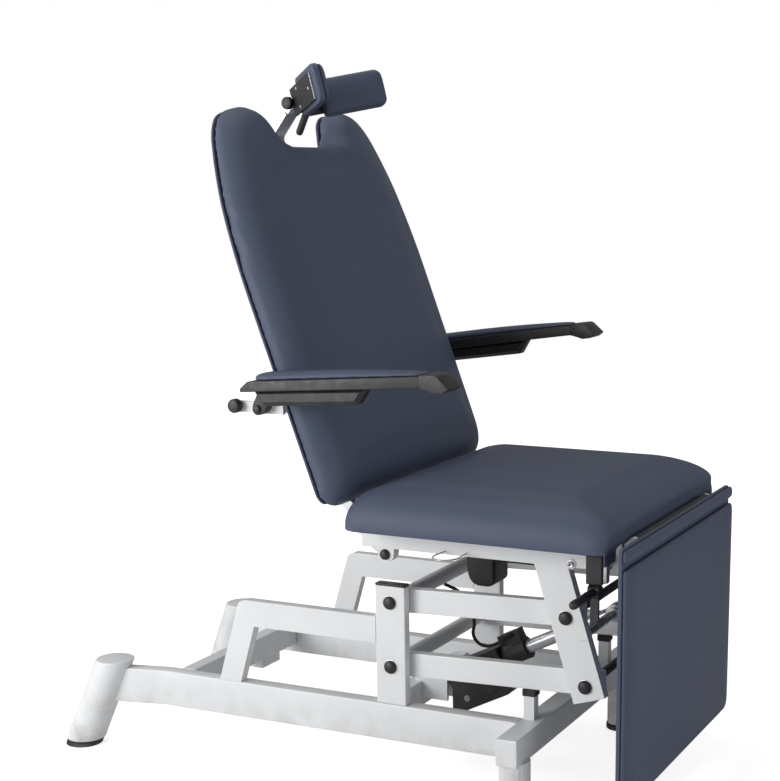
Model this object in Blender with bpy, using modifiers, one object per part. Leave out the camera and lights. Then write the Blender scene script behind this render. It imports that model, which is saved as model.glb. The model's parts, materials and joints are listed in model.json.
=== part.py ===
import math

import bmesh
import bpy
from mathutils import Matrix, Vector

# Ear nose and throat chair. X points forward, Y to the sitter's left, Z up, floor at Z = 0.
# The sitter's right is -Y. Lengths are metres, angles degrees.

GAP = 0.0003
RUNNING = 0.0003
SWING_CLEAR = 0.0022
ROD_CLEAR = 0.0052
EDGE = 0.002
SEGMENTS = 20
SIDES = (("right", -1), ("left", 1))

# Base frame
FRAME_HALF = 0.220
SIDE_T = 0.020
RAIL_T = 0.030
RAIL_LOW = 0.095
RAIL_TOP = 0.165
RAIL_BEND_X = -0.411
RAIL_END_X = -0.530
SPLAY = 12.0
FOOT_R = 0.038
FOOT_TOP_Z = 0.180
FOOT_TOP_X = -0.519
FOOT_TOP_Y = 0.229
FOOT_LEAN = 23.0
PAD_R = 0.036
PAD_H = 0.012
REAR_BAR_X = -0.374
BAR_T = 0.030
BAR_LOW = 0.115
INLET_Y = 0.089
INLET_W = 0.068
INLET_LOW = 0.097
MID_BAR_X = 0.037
MID_BAR_H = 0.050
FRONT_BAR_X = 0.362
FRONT_BAR_T = 0.040
FRONT_BAR_HALF = 0.310
FRONT_FOOT_R = 0.030
FRONT_FOOT_Y = 0.272
STOP_X = 0.3565
STOP_Y = 0.187
STOP_W = 0.020
BUMPER_H = 0.012
BUMPER_W = 0.024
BRACE_FOOT_X = -0.280
BRACE_W = 0.047
BRACE_LEAN = 16.5
BRACE_CORNER = 0.018
BEAM_LOW = 0.279
BEAM_TOP = 0.329
POST_X = 0.092
POST_W = 0.060
POST_TOP = 0.388

# Lift linkage
ARM_T = 0.020
ARM_H = 0.045
ARM_SPACE = 0.003
ARM_TAIL = 0.024
UPPER_REAR_Z = 0.3575
LOWER_REAR_Z = 0.2365
UPPER_FRONT = (0.435, 0.368)
LOWER_FRONT = (0.472, 0.248)
SHAFT_R = 0.008
DOME_R = 0.0125
DOME_H = 0.008
TORSION_R = 0.015

# Lift actuator
LIFT_REAR = (0.093, 0.147)
LIFT_FRONT = (0.448, 0.325)
LIFT_EYE_R = 0.011
LIFT_EYE_HALF = 0.011
LIFT_PIN_R = 0.005
CLEVIS_X = 0.107
CLEVIS_LOW = 0.111
CLEVIS_TOP = 0.160
CLEVIS_HALF = 0.018
MOTOR_HALF = 0.034
MOTOR_REAR = 0.026
MOTOR_FRONT = 0.150
MOTOR_LOW = -0.068
MOTOR_TOP = 0.024
MOTOR_TOE = 0.006
MOTOR_CUT = 0.018
COLLAR_FRONT = 0.200
COLLAR_R = 0.022
GLAND_TOP = 0.040
GLAND_W = 0.026
ROD_R = 0.013
ROD_REAR = 0.060
BORE_REAR = 0.050
CROSS_R = 0.012
EYE_WALL = 0.007
EYE_HALF = 0.014
LEAD_R = 0.0032
LEAD_SET = 0.014
LEAD_DROP = 0.006
CLIP_TURN = -30.0

# Seat frame
SEAT_RAIL_X0 = 0.036
SEAT_RAIL_X1 = 0.512
SEAT_RAIL_TOP = 0.508
SEAT_RAIL_H = 0.050
SEAT_RAIL_LOW = SEAT_RAIL_TOP - SEAT_RAIL_H
LEG_W = 0.060
LEG_TAIL = 0.026
LUG_X = 0.086
LUG_Z = 0.449
LUG_R = 0.016
EAR_T = 0.008
EAR_R = 0.010
EAR_PIN_R = 0.006
EAR_PIN_IN = 0.018
TUBE_W = 0.030
TUBE_X = 0.367
TUBE_Z = 0.483
HOOK_X0 = 0.204
HOOK_X1 = 0.245
HOOK_Z = 0.464
HOOK_OUT = 0.281
HOOK_R = 0.0035
HOOK_BEND = 0.012
BOX_X0 = 0.232
BOX_X1 = 0.342
BOX_HALF = 0.070
BOX_LOW = 0.462

# Seat pad
SEAT_X0 = 0.039
SEAT_X1 = 0.557
SEAT_HALF = 0.310
SEAT_THICK = 0.0725
BOARD_T = 0.015
BOARD_INSET = 0.030
LEG_BOARD_INSET = 0.004
SEAT_BOARD_X0 = 0.066
SEAT_BOARD_X1 = 0.496
SEAT_NOSE_LIFT = 0.026
CUSHION_TUCK = 0.005
PAD_TUCK = 0.002
TIP_SHARE = 0.99

# Backrest, measured from its hinge: forward from the back plane, up along the pad
HINGE_RISE = 0.003
BACK_HINGE = (0.0163, SEAT_RAIL_TOP + HINGE_RISE)
RECLINE = 20.3
BACK_PLANE = -0.004
BACK_FACE = 0.068
BACK_LOW = 0.033
BACK_HALF = 0.310
BACK_SHOULDER = 0.520
BACK_HORN = 0.768
BACK_HORN_Y = 0.188
BACK_NOTCH = 0.695
BACK_NOTCH_Y = 0.096
NOTCH_POWER = 1.35
UPRIGHT_T = 0.020
UPRIGHT_Y = 0.1897
UPRIGHT_D = 0.022
UPRIGHT_TOP = 0.600
UPRIGHT_KNEE = 0.028
UPRIGHT_EYE_R = 0.0105
BACK_BAR_LOW = 0.060
BACK_BAR_H = 0.030
GUIDE_Z = 0.545
GUIDE_H = 0.030
CRANK_T = 0.012
CRANK_DROP = 0.096
CRANK_SWING = 35.0
CRANK_PIN_R = 0.005
CRANK_SLOT_W = 0.018
CRANK_W = 0.036
BACK_MOTOR_X0 = 0.145
BACK_MOTOR_X1 = 0.222
BACK_MOTOR_LOW = 0.348
BACK_MOTOR_TOP = 0.442
BACK_MOTOR_HALF = 0.034
BACK_MOTOR_EDGE = 0.008
HOUSING_EDGE = 0.004
BACK_TUBE_R = 0.018
BACK_TUBE_X1 = 0.350
BACK_LUG_X1 = 0.384
BACK_LUG_HALF = 0.012
BACK_ROD_R = 0.009
BACK_ROD_IN = 0.200
BACK_BORE_IN = 0.342
FORK_HALF = 0.015
FORK_LEN = 0.044
FORK_R = 0.010

# Armrests
ARM_PIVOT = (-0.111, 0.712)
BRACKET_HALF_H = 0.010
BRACKET_X0 = -0.178
BRACKET_SET = 0.018
BRACKET_Y = BACK_HALF - BRACKET_SET
BRACKET_T = 0.008
BRACKET_BAR_W = 0.024
BRACKET_BAR_X = -0.085
REST_HALF = 0.026
REST_CLEAR = 0.004
REST_SINK = 0.006
REST_Y = BACK_HALF + REST_CLEAR + REST_HALF
REST_LUG_T = BRACKET_SET + REST_CLEAR + REST_SINK - BRACKET_T - GAP
REST_LUG_R = 0.014
REST_PIN_R = 0.006
REST_TILT = {"right": 3.9, "left": 8.0}
REST_LOW = 0.038
REST_TOP = 0.054
REST_REAR = -0.003
REST_REAR_TOP = 0.014
REST_NOSE = 0.406
REST_NOSE_IN = 0.372
NOSE_LIP = 0.008
NOSE_CHIN = 0.004
NOSE_TIP = 0.009
NOSE_BROW = 0.010
NOSE_DROP = 0.001
REAR_DROP = 0.010
KEEL_SET = 0.006
REST_EDGE = 0.003
REST_BOX_LOW = 0.010
REST_BOX_HALF = 0.015
REST_BOX_X0 = 0.016
REST_BOX_X1 = 0.228
REST_BOX_SLOPE = 0.016
REST_PAD_X0 = 0.018
REST_PAD_X1 = 0.368
REST_PAD_H = 0.013
KNOB_R = 0.0125
KNOB_H = 0.018
KNOB_X = -0.164
KNOB_Z = 0.714

# Headrest, in the backrest's own frame
STRAP_T = 0.006
STRAP_HALF = 0.015
STRAP_X = -0.020
STRAP_LOW = 0.480
STRAP_BEND = 0.727
HEAD_PIVOT = (0.041, 0.768)
HEAD_LUG_R = 0.011
HEAD_PIN_R = 0.004
CLAMP_X0 = 0.055
CLAMP_X1 = 0.078
CLAMP_LOW = 0.745
CLAMP_TOP = 0.794
CLAMP_HALF = 0.021
HEAD_KNOB_R = 0.012
HEAD_KNOB_H = 0.018
HEAD_YAW = 46.9
HEAD_TIP = -5.4
HEAD_FORE = -0.008
HEAD_UP = -0.001
HEAD_INNER = 0.079
HEAD_LEN = 0.105
HEAD_H = 0.067
HEAD_T = 0.025
WING_T = 0.004
WING_IN = 0.0245
WING_OUT = 0.156
WING_H = 0.050
HANDLE_R = 0.0068
HANDLE_ROOT = (0.0645, 0.750)
HANDLE_END = (0.036, 0.716)

# Leg rest
LEG_HINGE = (0.552, SEAT_RAIL_TOP + HINGE_RISE)
BARREL_R = 0.0078
LEG_PIN_R = 0.0045
LEG_CLEAR = 0.0008
LEG_BACK = LEG_HINGE[0] + BARREL_R + LEG_CLEAR
LEG_BOARD_T = 0.007
LEG_FACE = 0.582
MIDDLE_SHIFT = 0.0238755
LEG_RISE = 0.008
LEG_TOP = LEG_HINGE[1] + LEG_RISE
LEG_STRIP = 0.027
LEG_FOAM_TOP = LEG_TOP - LEG_STRIP
LEG_LOW = 0.058
LEG_HALF = 0.310
LEAF_T = 0.006
LEAF_LOW = 0.420
LEAF_HALF = 0.150
LOCK_X0 = 0.477
LOCK_X1 = 0.507
LOCK_LOW = 0.4365
LOCK_TOP = 0.487
LOCK_T = 0.016
LEVER_X = 0.4915
LEVER_Z = 0.4237
LEVER_HUB_R = 0.0125
LEVER_HUB_HALF = 0.010
LEVER_R = 0.007
LEVER_END_Y = -0.330
PAWL_T = 0.006
PAWL_HALF = 0.0075
PAWL_LOW = 0.360
PAWL_SHOULDER = 0.374


def clear_scene():
    for old in list(bpy.data.objects):
        bpy.data.objects.remove(old)


def collection(name):
    made = bpy.data.collections.new(name)
    bpy.context.scene.collection.children.link(made)
    return made


clear_scene()
PARTS = collection("ear_nose_throat_chair")
CUTTERS = collection("cutters")
CUTTERS.hide_render = True


def material(name, colour, roughness, metallic=0.0):
    made = bpy.data.materials.new(name)
    made.use_nodes = True
    shader = made.node_tree.nodes["Principled BSDF"]
    shader.inputs["Base Color"].default_value = (*colour, 1.0)
    shader.inputs["Roughness"].default_value = roughness
    shader.inputs["Metallic"].default_value = metallic
    return made


WHITE = ("powder_coat", (0.78, 0.79, 0.80), 0.35, 0.0)
BLACK = ("black_plastic", (0.02, 0.02, 0.022), 0.5, 0.0)
RUBBER = ("rubber", (0.015, 0.015, 0.015), 0.8, 0.0)
VINYL = ("vinyl", (0.045, 0.055, 0.090), 0.45, 0.0)
STEEL = ("plated_steel", (0.55, 0.56, 0.57), 0.3, 1.0)
PLY = ("board", (0.30, 0.20, 0.11), 0.7, 0.0)


def axis_empty(name, point, parent=None):
    made = bpy.data.objects.new(name, None)
    PARTS.objects.link(made)
    made.parent = parent
    base = Vector(parent["at"]) if parent else Vector()
    made.location = Vector(point) - base
    made["at"] = tuple(point)
    return made


def turn_outward(shape):
    bmesh.ops.recalc_face_normals(shape, faces=shape.faces)
    if shape.calc_volume(signed=True) < 0:
        bmesh.ops.reverse_faces(shape, faces=shape.faces)


def finish(name, shape, look, parent=None, smooth=False, face_out=True):
    mesh = bpy.data.meshes.new(name)
    origin = Vector(parent["at"]) if parent else Vector()
    if face_out:
        turn_outward(shape)
    shape.transform(Matrix.Translation(-origin))
    shape.to_mesh(mesh)
    shape.free()
    made = bpy.data.objects.new(name, mesh)
    PARTS.objects.link(made)
    made.parent = parent
    mesh.materials.append(material(name + "_" + look[0], *look[1:]))
    for face in mesh.polygons:
        face.use_smooth = smooth
    return made


def combine(target, shape, operation, label):
    mesh = bpy.data.meshes.new(label)
    origin = Vector(target.parent["at"]) if target.parent else Vector()
    turn_outward(shape)
    shape.transform(Matrix.Translation(-origin))
    shape.to_mesh(mesh)
    shape.free()
    tool = bpy.data.objects.new(label, mesh)
    CUTTERS.objects.link(tool)
    tool.parent = target.parent
    tool.hide_render = True
    tool.display_type = "WIRE"
    step = target.modifiers.new(label, "BOOLEAN")
    step.operation = operation
    step.solver = "EXACT"
    step.object = tool
    return tool


def soften(target, width=EDGE):
    step = target.modifiers.new("soft edges", "BEVEL")
    step.width = width
    step.segments = 2
    step.limit_method = "ANGLE"


def span(shape, low, high, frame=None):
    low = Vector(low)
    high = Vector(high)
    place = Matrix.Translation((low + high) / 2) @ Matrix.Diagonal((*(high - low), 1.0))
    if frame:
        place = frame @ place
    bmesh.ops.create_cube(shape, size=1.0, matrix=place)
    return shape


def drum(shape, radius, start, end, segments=SEGMENTS, frame=None):
    start = Vector(start)
    end = Vector(end)
    along = end - start
    turn = along.to_track_quat("Z", "Y").to_matrix().to_4x4()
    place = Matrix.Translation((start + end) / 2) @ turn
    if frame:
        place = frame @ place
    bmesh.ops.create_cone(
        shape, cap_ends=True, segments=segments, radius1=radius, radius2=radius,
        depth=along.length, matrix=place)
    return shape


def outline(points, half, frame):
    curve = bpy.data.curves.new("outline", "CURVE")
    curve.dimensions = "2D"
    curve.fill_mode = "BOTH"
    curve.extrude = half
    loop = curve.splines.new("POLY")
    loop.points.add(len(points) - 1)
    for spot, point in zip(loop.points, points):
        spot.co = (point[0], point[1], 0.0, 1.0)
    loop.use_cyclic_u = True
    holder = bpy.data.objects.new("outline", curve)
    mesh = bpy.data.meshes.new_from_object(holder)
    shape = bmesh.new()
    shape.from_mesh(mesh)
    bmesh.ops.remove_doubles(shape, verts=shape.verts, dist=GAP / 10)
    shape.transform(frame)
    bpy.data.objects.remove(holder)
    bpy.data.curves.remove(curve)
    bpy.data.meshes.remove(mesh)
    return shape


def upright_plane(y):
    return Matrix.Translation((0.0, y, 0.0)) @ Matrix.Rotation(math.radians(90), 4, "X")


def arc(centre, radius, start, end, steps):
    made = []
    for i in range(steps + 1):
        angle = math.radians(start + (end - start) * i / steps)
        made.append((centre[0] + radius * math.cos(angle), centre[1] + radius * math.sin(angle)))
    return made


def turned(name, profile, look, parent, point, axis_turn):
    mesh = bpy.data.meshes.new(name)
    shape = bmesh.new()
    rows = [shape.verts.new((r, 0.0, h)) for r, h in profile]
    for first, second in zip(rows, rows[1:]):
        shape.edges.new((first, second))
    shape.to_mesh(mesh)
    shape.free()
    made = bpy.data.objects.new(name, mesh)
    PARTS.objects.link(made)
    made.parent = parent
    base = Vector(parent["at"]) if parent else Vector()
    made.location = Vector(point) - base
    made.rotation_euler = axis_turn
    mesh.materials.append(material(name + "_" + look[0], *look[1:]))
    spin = made.modifiers.new("turned", "SCREW")
    spin.axis = "Z"
    spin.angle = math.radians(360)
    spin.steps = SEGMENTS
    spin.render_steps = SEGMENTS
    spin.use_merge_vertices = True
    spin.merge_threshold = 0.00005
    return made


SHALLOW = (-1.0, -0.9, -0.55, 0.0, 0.55, 0.9, 1.0)
SEAT_ROWS = (-1.0, -0.9, -0.5, 0.0, 0.45, 0.80, 0.93, 1.0)
NOSE_FROM = 0.85
SIDE_LEVELS = (0.10, 0.46)
CROWN_POWER = 8


def soft_slab(name, size, thick, look, parent, frame, rows=SHALLOW, columns=SHALLOW, warp=None,
              rim=0.26, drop=0.20, tuck=CUSHION_TUCK, nose=0.0):
    half_u = size[0] / 2
    half_v = size[1] / 2
    shape = bmesh.new()
    bmesh.ops.create_cube(shape, size=2.0)
    for axis, count in ((0, len(rows) - 2), (1, len(columns) - 2), (2, len(SIDE_LEVELS))):
        run = []
        for edge in shape.edges:
            step = edge.verts[0].co - edge.verts[1].co
            if abs(step[axis]) > max(abs(step[(axis + 1) % 3]), abs(step[(axis + 2) % 3])):
                run.append(edge)
        bmesh.ops.subdivide_edges(shape, edges=run, cuts=count, use_grid_fill=True)
    for vert in shape.verts:
        row = round((vert.co.x + 1) / 2 * (len(rows) - 1))
        column = round((vert.co.y + 1) / 2 * (len(columns) - 1))
        s = rows[row]
        t = columns[column]
        reach = max(abs(s), abs(t))
        layer = round((vert.co.z + 1) / 2 * (len(SIDE_LEVELS) + 1))
        rise = nose if s > NOSE_FROM else 0.0
        if layer > len(SIDE_LEVELS):
            pull = rim * thick * reach ** CROWN_POWER
            level = thick * (1 - drop * reach ** CROWN_POWER)
        elif layer == 0:
            pull = tuck
            level = rise
        else:
            pull = 0.0
            share = SIDE_LEVELS[layer - 1]
            level = share * thick + rise * (1 - share)
        u = s * (half_u - pull)
        v = t * (half_v - pull)
        if warp:
            u, v = warp(u, v)
        vert.co = Vector((u, v, level))
    shape.transform(frame)
    made = finish(name, shape, look, parent, smooth=True, face_out=False)
    step = made.modifiers.new("rounded", "SUBSURF")
    step.levels = 1
    step.render_levels = 1
    return made


def side_y(side, inner, outer):
    return min(side * inner, side * outer), max(side * inner, side * outer)


# Base: rails with leaning rear feet, cross bars, braces and posts
lean = math.tan(math.radians(FOOT_LEAN))
splay = math.tan(math.radians(SPLAY))
foot_drop = (FOOT_TOP_Z - PAD_H) * lean
foot_back = foot_drop * math.cos(math.radians(SPLAY))
foot_side = foot_drop * math.sin(math.radians(SPLAY))
bar_front = FRONT_BAR_X + FRONT_BAR_T / 2
bar_rear = FRONT_BAR_X - FRONT_BAR_T / 2
arm_rise = (LOWER_FRONT[1] - LOWER_REAR_Z) / (LOWER_FRONT[0] - POST_X)
stop_rear = STOP_X - BUMPER_W / 2
bumper_top = LOWER_REAR_Z + arm_rise * (stop_rear - POST_X) - ARM_H / 2 * math.hypot(1, arm_rise) - GAP
bumper_low = bumper_top - BUMPER_H
hole_r = SHAFT_R + RUNNING


def leaning_tube(radius, side, low, high):
    shape = bmesh.new()
    depth = high - low
    middle = (high + low) / 2
    back = (FOOT_TOP_Z - middle) * lean
    centre = Vector((FOOT_TOP_X - back * math.cos(math.radians(SPLAY)),
                     side * (FOOT_TOP_Y + back * math.sin(math.radians(SPLAY))), middle))
    bmesh.ops.create_cone(
        shape, cap_ends=True, segments=28, radius1=radius, radius2=radius, depth=depth)
    slope = Matrix.Identity(4)
    slope[0][2] = lean * math.cos(math.radians(SPLAY))
    slope[1][2] = -side * lean * math.sin(math.radians(SPLAY))
    shape.transform(Matrix.Translation(centre) @ slope)
    return shape


for side_name, side in SIDES:
    outer_end = FRAME_HALF + (RAIL_BEND_X - RAIL_END_X) * splay
    plan = [
        (bar_rear - GAP, side * FRAME_HALF),
        (bar_rear - GAP, side * (FRAME_HALF - RAIL_T)),
        (RAIL_BEND_X, side * (FRAME_HALF - RAIL_T)),
        (RAIL_END_X, side * (outer_end - RAIL_T)),
        (RAIL_END_X, side * outer_end),
        (RAIL_BEND_X, side * FRAME_HALF),
    ]
    middle = Matrix.Translation((0.0, 0.0, (RAIL_LOW + RAIL_TOP) / 2))
    rail = finish("rail_" + side_name, outline(plan, (RAIL_TOP - RAIL_LOW) / 2, middle), WHITE)
    combine(rail, leaning_tube(FOOT_R, side, PAD_H + GAP, FOOT_TOP_Z), "UNION", "rear foot " + side_name)
    pad = leaning_tube(PAD_R, side, 0.0, PAD_H)
    finish("rear_foot_pad_" + side_name, pad, RUBBER)

    low_y, high_y = side_y(side, FRAME_HALF - SIDE_T, FRAME_HALF)
    slant = math.tan(math.radians(BRACE_LEAN))
    foot_z = RAIL_TOP + GAP
    post_rear = POST_X - POST_W / 2
    elbow = BRACE_FOOT_X + (BEAM_TOP - foot_z) * slant
    corner = BRACE_CORNER
    knee = [
        (BRACE_FOOT_X, foot_z),
        (elbow - corner * slant, BEAM_TOP - corner),
        (elbow - corner * slant + corner / 4, BEAM_TOP - corner / 3),
        (elbow + corner * 0.7, BEAM_TOP),
        (post_rear - GAP, BEAM_TOP),
        (post_rear - GAP, BEAM_LOW),
        (BRACE_FOOT_X + BRACE_W + (BEAM_LOW - foot_z) * slant, BEAM_LOW),
        (BRACE_FOOT_X + BRACE_W, foot_z),
    ]
    brace = finish("brace_" + side_name, outline(knee, SIDE_T / 2, upright_plane((low_y + high_y) / 2)),
        WHITE)

    post = finish(
        "post_" + side_name,
        span(bmesh.new(), (post_rear, low_y, foot_z), (POST_X + POST_W / 2, high_y, POST_TOP)), WHITE)
    soften(post)
    holes = bmesh.new()
    for pivot_z in (UPPER_REAR_Z, LOWER_REAR_Z):
        drum(holes, hole_r, (POST_X, low_y - EDGE, pivot_z), (POST_X, high_y + EDGE, pivot_z))
    combine(post, holes, "DIFFERENCE", "post holes " + side_name)

    foot_y = side * FRONT_FOOT_Y
    finish("front_foot_pad_" + side_name,
           drum(bmesh.new(), FRONT_FOOT_R, (FRONT_BAR_X, foot_y, 0.0), (FRONT_BAR_X, foot_y, PAD_H)), RUBBER)
    stop_y = side * STOP_Y
    bumper = finish(
        "stop_bumper_" + side_name,
        span(bmesh.new(), (stop_rear, stop_y - BUMPER_W / 2, bumper_low),
             (stop_rear + BUMPER_W, stop_y + BUMPER_W / 2, bumper_top)), RUBBER)

inner = FRAME_HALF - RAIL_T - GAP
rear_bar = finish("rear_cross_bar", span(
    bmesh.new(), (REAR_BAR_X - BAR_T / 2, -inner, BAR_LOW), (REAR_BAR_X + BAR_T / 2, inner, RAIL_TOP)), WHITE)
soften(rear_bar)
inlet = span(
    bmesh.new(), (REAR_BAR_X - BAR_T / 2 + EDGE, INLET_Y - INLET_W / 2, INLET_LOW),
    (REAR_BAR_X + BAR_T / 2 - EDGE, INLET_Y + INLET_W / 2, BAR_LOW + EDGE))
combine(rear_bar, inlet, "UNION", "mains inlet")

mid_bar = finish("middle_cross_bar", span(
    bmesh.new(), (MID_BAR_X - BAR_T / 2, -inner, RAIL_LOW), (MID_BAR_X + BAR_T / 2, inner,
        RAIL_LOW + MID_BAR_H)), WHITE)
ears = bmesh.new()
for side_name, side in SIDES:
    low_y, high_y = side_y(side, LIFT_EYE_HALF + GAP, CLEVIS_HALF)
    span(ears, (MID_BAR_X, low_y, CLEVIS_LOW), (CLEVIS_X, high_y, CLEVIS_TOP))
combine(mid_bar, ears, "UNION", "lift clevis")
drum_y = CLEVIS_HALF - EDGE
pin = drum(bmesh.new(), LIFT_PIN_R, (LIFT_REAR[0], -drum_y, LIFT_REAR[1]), (LIFT_REAR[0], drum_y,
    LIFT_REAR[1]))
combine(mid_bar, pin, "UNION", "lift rear pin")

front_bar = finish("front_cross_bar", span(
    bmesh.new(), (bar_rear, -FRONT_BAR_HALF, BAR_LOW), (bar_front, FRONT_BAR_HALF, RAIL_TOP)), WHITE)
soften(front_bar)
limbs = bmesh.new()
for side_name, side in SIDES:
    foot_y = side * FRONT_FOOT_Y
    drum(limbs, FRONT_FOOT_R - EDGE, (FRONT_BAR_X, foot_y, PAD_H + GAP), (FRONT_BAR_X, foot_y,
        BAR_LOW + EDGE))
    stop_y = side * STOP_Y
    span(limbs, (STOP_X - STOP_W / 2, stop_y - STOP_W / 2, RAIL_TOP - EDGE),
         (STOP_X + STOP_W / 2, stop_y + STOP_W / 2, bumper_low - GAP))
combine(front_bar, limbs, "UNION", "front feet and stops")


# Lift arms, torsion tubes and pivot shafts
def domed_shaft(name, point, parent):
    half = FRAME_HALF + GAP
    profile = [(0.0, half + DOME_H)]
    for step in range(1, 5):
        angle = math.radians(90 * (1 - step / 4))
        profile.append((DOME_R * math.cos(angle), half + DOME_H * math.sin(angle)))
    profile.append((SHAFT_R, half))
    lower = [(r, -h) for r, h in reversed(profile)]
    turned(name, profile + lower, BLACK, parent, (point[0], 0.0, point[1]), (math.radians(90), 0.0, 0.0))


arm_outer = FRAME_HALF - SIDE_T - ARM_SPACE
arm_inner = arm_outer - ARM_T
upper_rear = (POST_X, UPPER_REAR_Z)
lower_rear = (POST_X, LOWER_REAR_Z)
lift_axis = axis_empty("lift_axis", (upper_rear[0], 0.0, upper_rear[1]))
lower_axis = axis_empty("lower_arm_axis", (lower_rear[0], 0.0, lower_rear[1]))
seat_axis = axis_empty("seat_axis", (UPPER_FRONT[0], 0.0, UPPER_FRONT[1]), lift_axis)


def lift_arm(name, rear, front, side, parent, front_r):
    along = Vector((front[0] - rear[0], 0.0, front[1] - rear[1]))
    frame = Matrix.Translation((rear[0], 0.0, rear[1])) @ Matrix.Rotation(
        -math.atan2(along.z, along.x), 4, "Y")
    low_y, high_y = side_y(side, arm_inner, arm_outer)
    arm = finish(name, span(
        bmesh.new(), (-ARM_TAIL, low_y, -ARM_H / 2), (along.length + ARM_TAIL, high_y, ARM_H / 2), frame),
        WHITE, parent)
    soften(arm)
    holes = bmesh.new()
    drum(holes, hole_r, (rear[0], low_y - EDGE, rear[1]), (rear[0], high_y + EDGE, rear[1]))
    drum(holes, front_r, (front[0], low_y - EDGE, front[1]), (front[0], high_y + EDGE, front[1]))
    combine(arm, holes, "DIFFERENCE", name + " holes")


for side_name, side in SIDES:
    lift_arm("upper_arm_" + side_name, upper_rear, UPPER_FRONT, side, lift_axis, hole_r)
    lift_arm("lower_arm_" + side_name, lower_rear, LOWER_FRONT, side, lower_axis, hole_r + SWING_CLEAR)

for label, rear, parent in (("upper", upper_rear, lift_axis), ("lower", lower_rear, lower_axis)):
    reach = arm_inner - GAP
    tube = finish(label + "_torsion_tube", drum(
        bmesh.new(), TORSION_R, (rear[0], -reach, rear[1]), (rear[0], reach, rear[1])), WHITE, parent)
    bore = drum(bmesh.new(), hole_r, (rear[0], -reach - EDGE, rear[1]), (rear[0], reach + EDGE, rear[1]))
    combine(tube, bore, "DIFFERENCE", label + " tube bore")

domed_shaft("upper_rear_shaft", upper_rear, None)
domed_shaft("lower_rear_shaft", lower_rear, None)
domed_shaft("upper_front_shaft", UPPER_FRONT, seat_axis)
domed_shaft("lower_front_shaft", LOWER_FRONT, seat_axis)


# Lift actuator: motor housing on the base, rod to the seat's front cross shaft
lift_pivot = axis_empty("lift_motor_axis", (LIFT_REAR[0], 0.0, LIFT_REAR[1]))
lift_run = Vector((LIFT_FRONT[0] - LIFT_REAR[0], 0.0, LIFT_FRONT[1] - LIFT_REAR[1]))
lift_frame = Matrix.Translation((LIFT_REAR[0], 0.0, LIFT_REAR[1])) @ Matrix.Rotation(
    -math.atan2(lift_run.z, lift_run.x), 4, "Y")
motor_side = [
    (MOTOR_REAR, MOTOR_TOP),
    (MOTOR_REAR, -MOTOR_CUT),
    (MOTOR_TOE, MOTOR_LOW + MOTOR_CUT / 2),
    (MOTOR_TOE + MOTOR_CUT, MOTOR_LOW),
    (MOTOR_FRONT - MOTOR_CUT, MOTOR_LOW),
    (MOTOR_FRONT, MOTOR_LOW + MOTOR_CUT / 2),
    (MOTOR_FRONT, MOTOR_TOP),
]
lift_motor = finish("lift_motor", outline(motor_side, MOTOR_HALF, lift_frame @ upright_plane(0.0)), BLACK,
    lift_pivot)
soften(lift_motor, HOUSING_EDGE)
fittings = bmesh.new()
neck_half = LIFT_EYE_HALF - EDGE / 2
span(fittings, (0.0, -neck_half, -LIFT_EYE_R * 0.8), (MOTOR_REAR + EDGE, neck_half, LIFT_EYE_R * 0.8),
    lift_frame)
combine(lift_motor, fittings, "UNION", "lift rear neck")
combine(lift_motor, drum(bmesh.new(), LIFT_EYE_R, (0, -LIFT_EYE_HALF, 0), (0, LIFT_EYE_HALF, 0), SEGMENTS,
    lift_frame),
        "UNION", "lift rear eye")
combine(lift_motor, drum(bmesh.new(), COLLAR_R, (MOTOR_FRONT - EDGE, 0, 0), (COLLAR_FRONT, 0, 0), SEGMENTS,
    lift_frame),
        "UNION", "lift collar")
gland = span(bmesh.new(), (MOTOR_FRONT + EDGE, -GLAND_W / 2, ROD_R + EDGE),
             (COLLAR_FRONT - EDGE, GLAND_W / 2, GLAND_TOP), lift_frame)
combine(lift_motor, gland, "UNION", "lead gland")
bores = bmesh.new()
drum(bores, ROD_R + RUNNING, (BORE_REAR, 0, 0), (COLLAR_FRONT + EDGE, 0, 0), SEGMENTS, lift_frame)
drum(bores, LIFT_PIN_R + RUNNING, (0, -LIFT_EYE_HALF - EDGE, 0), (0, LIFT_EYE_HALF + EDGE, 0), SEGMENTS,
    lift_frame)
combine(lift_motor, bores, "DIFFERENCE", "lift bores")

rod_axis = axis_empty("lift_rod_axis", (LIFT_REAR[0], 0.0, LIFT_REAR[1]), lift_pivot)
eye_bore = CROSS_R + ROD_CLEAR
eye_r = eye_bore + EYE_WALL
lift_rod = finish("lift_rod", drum(
    bmesh.new(), ROD_R, (ROD_REAR, 0, 0), (lift_run.length - eye_bore - EYE_WALL / 2, 0, 0), SEGMENTS,
        lift_frame),
    STEEL, rod_axis)
ring_x = lift_run.length
combine(lift_rod, drum(bmesh.new(), eye_r, (ring_x, -EYE_HALF, 0), (ring_x, EYE_HALF, 0), 28, lift_frame),
        "UNION", "rod eye")
combine(lift_rod, drum(
    bmesh.new(), eye_bore, (ring_x, -EYE_HALF - EDGE, 0), (ring_x, EYE_HALF + EDGE, 0), 28, lift_frame),
    "DIFFERENCE", "rod eye bore")


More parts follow.
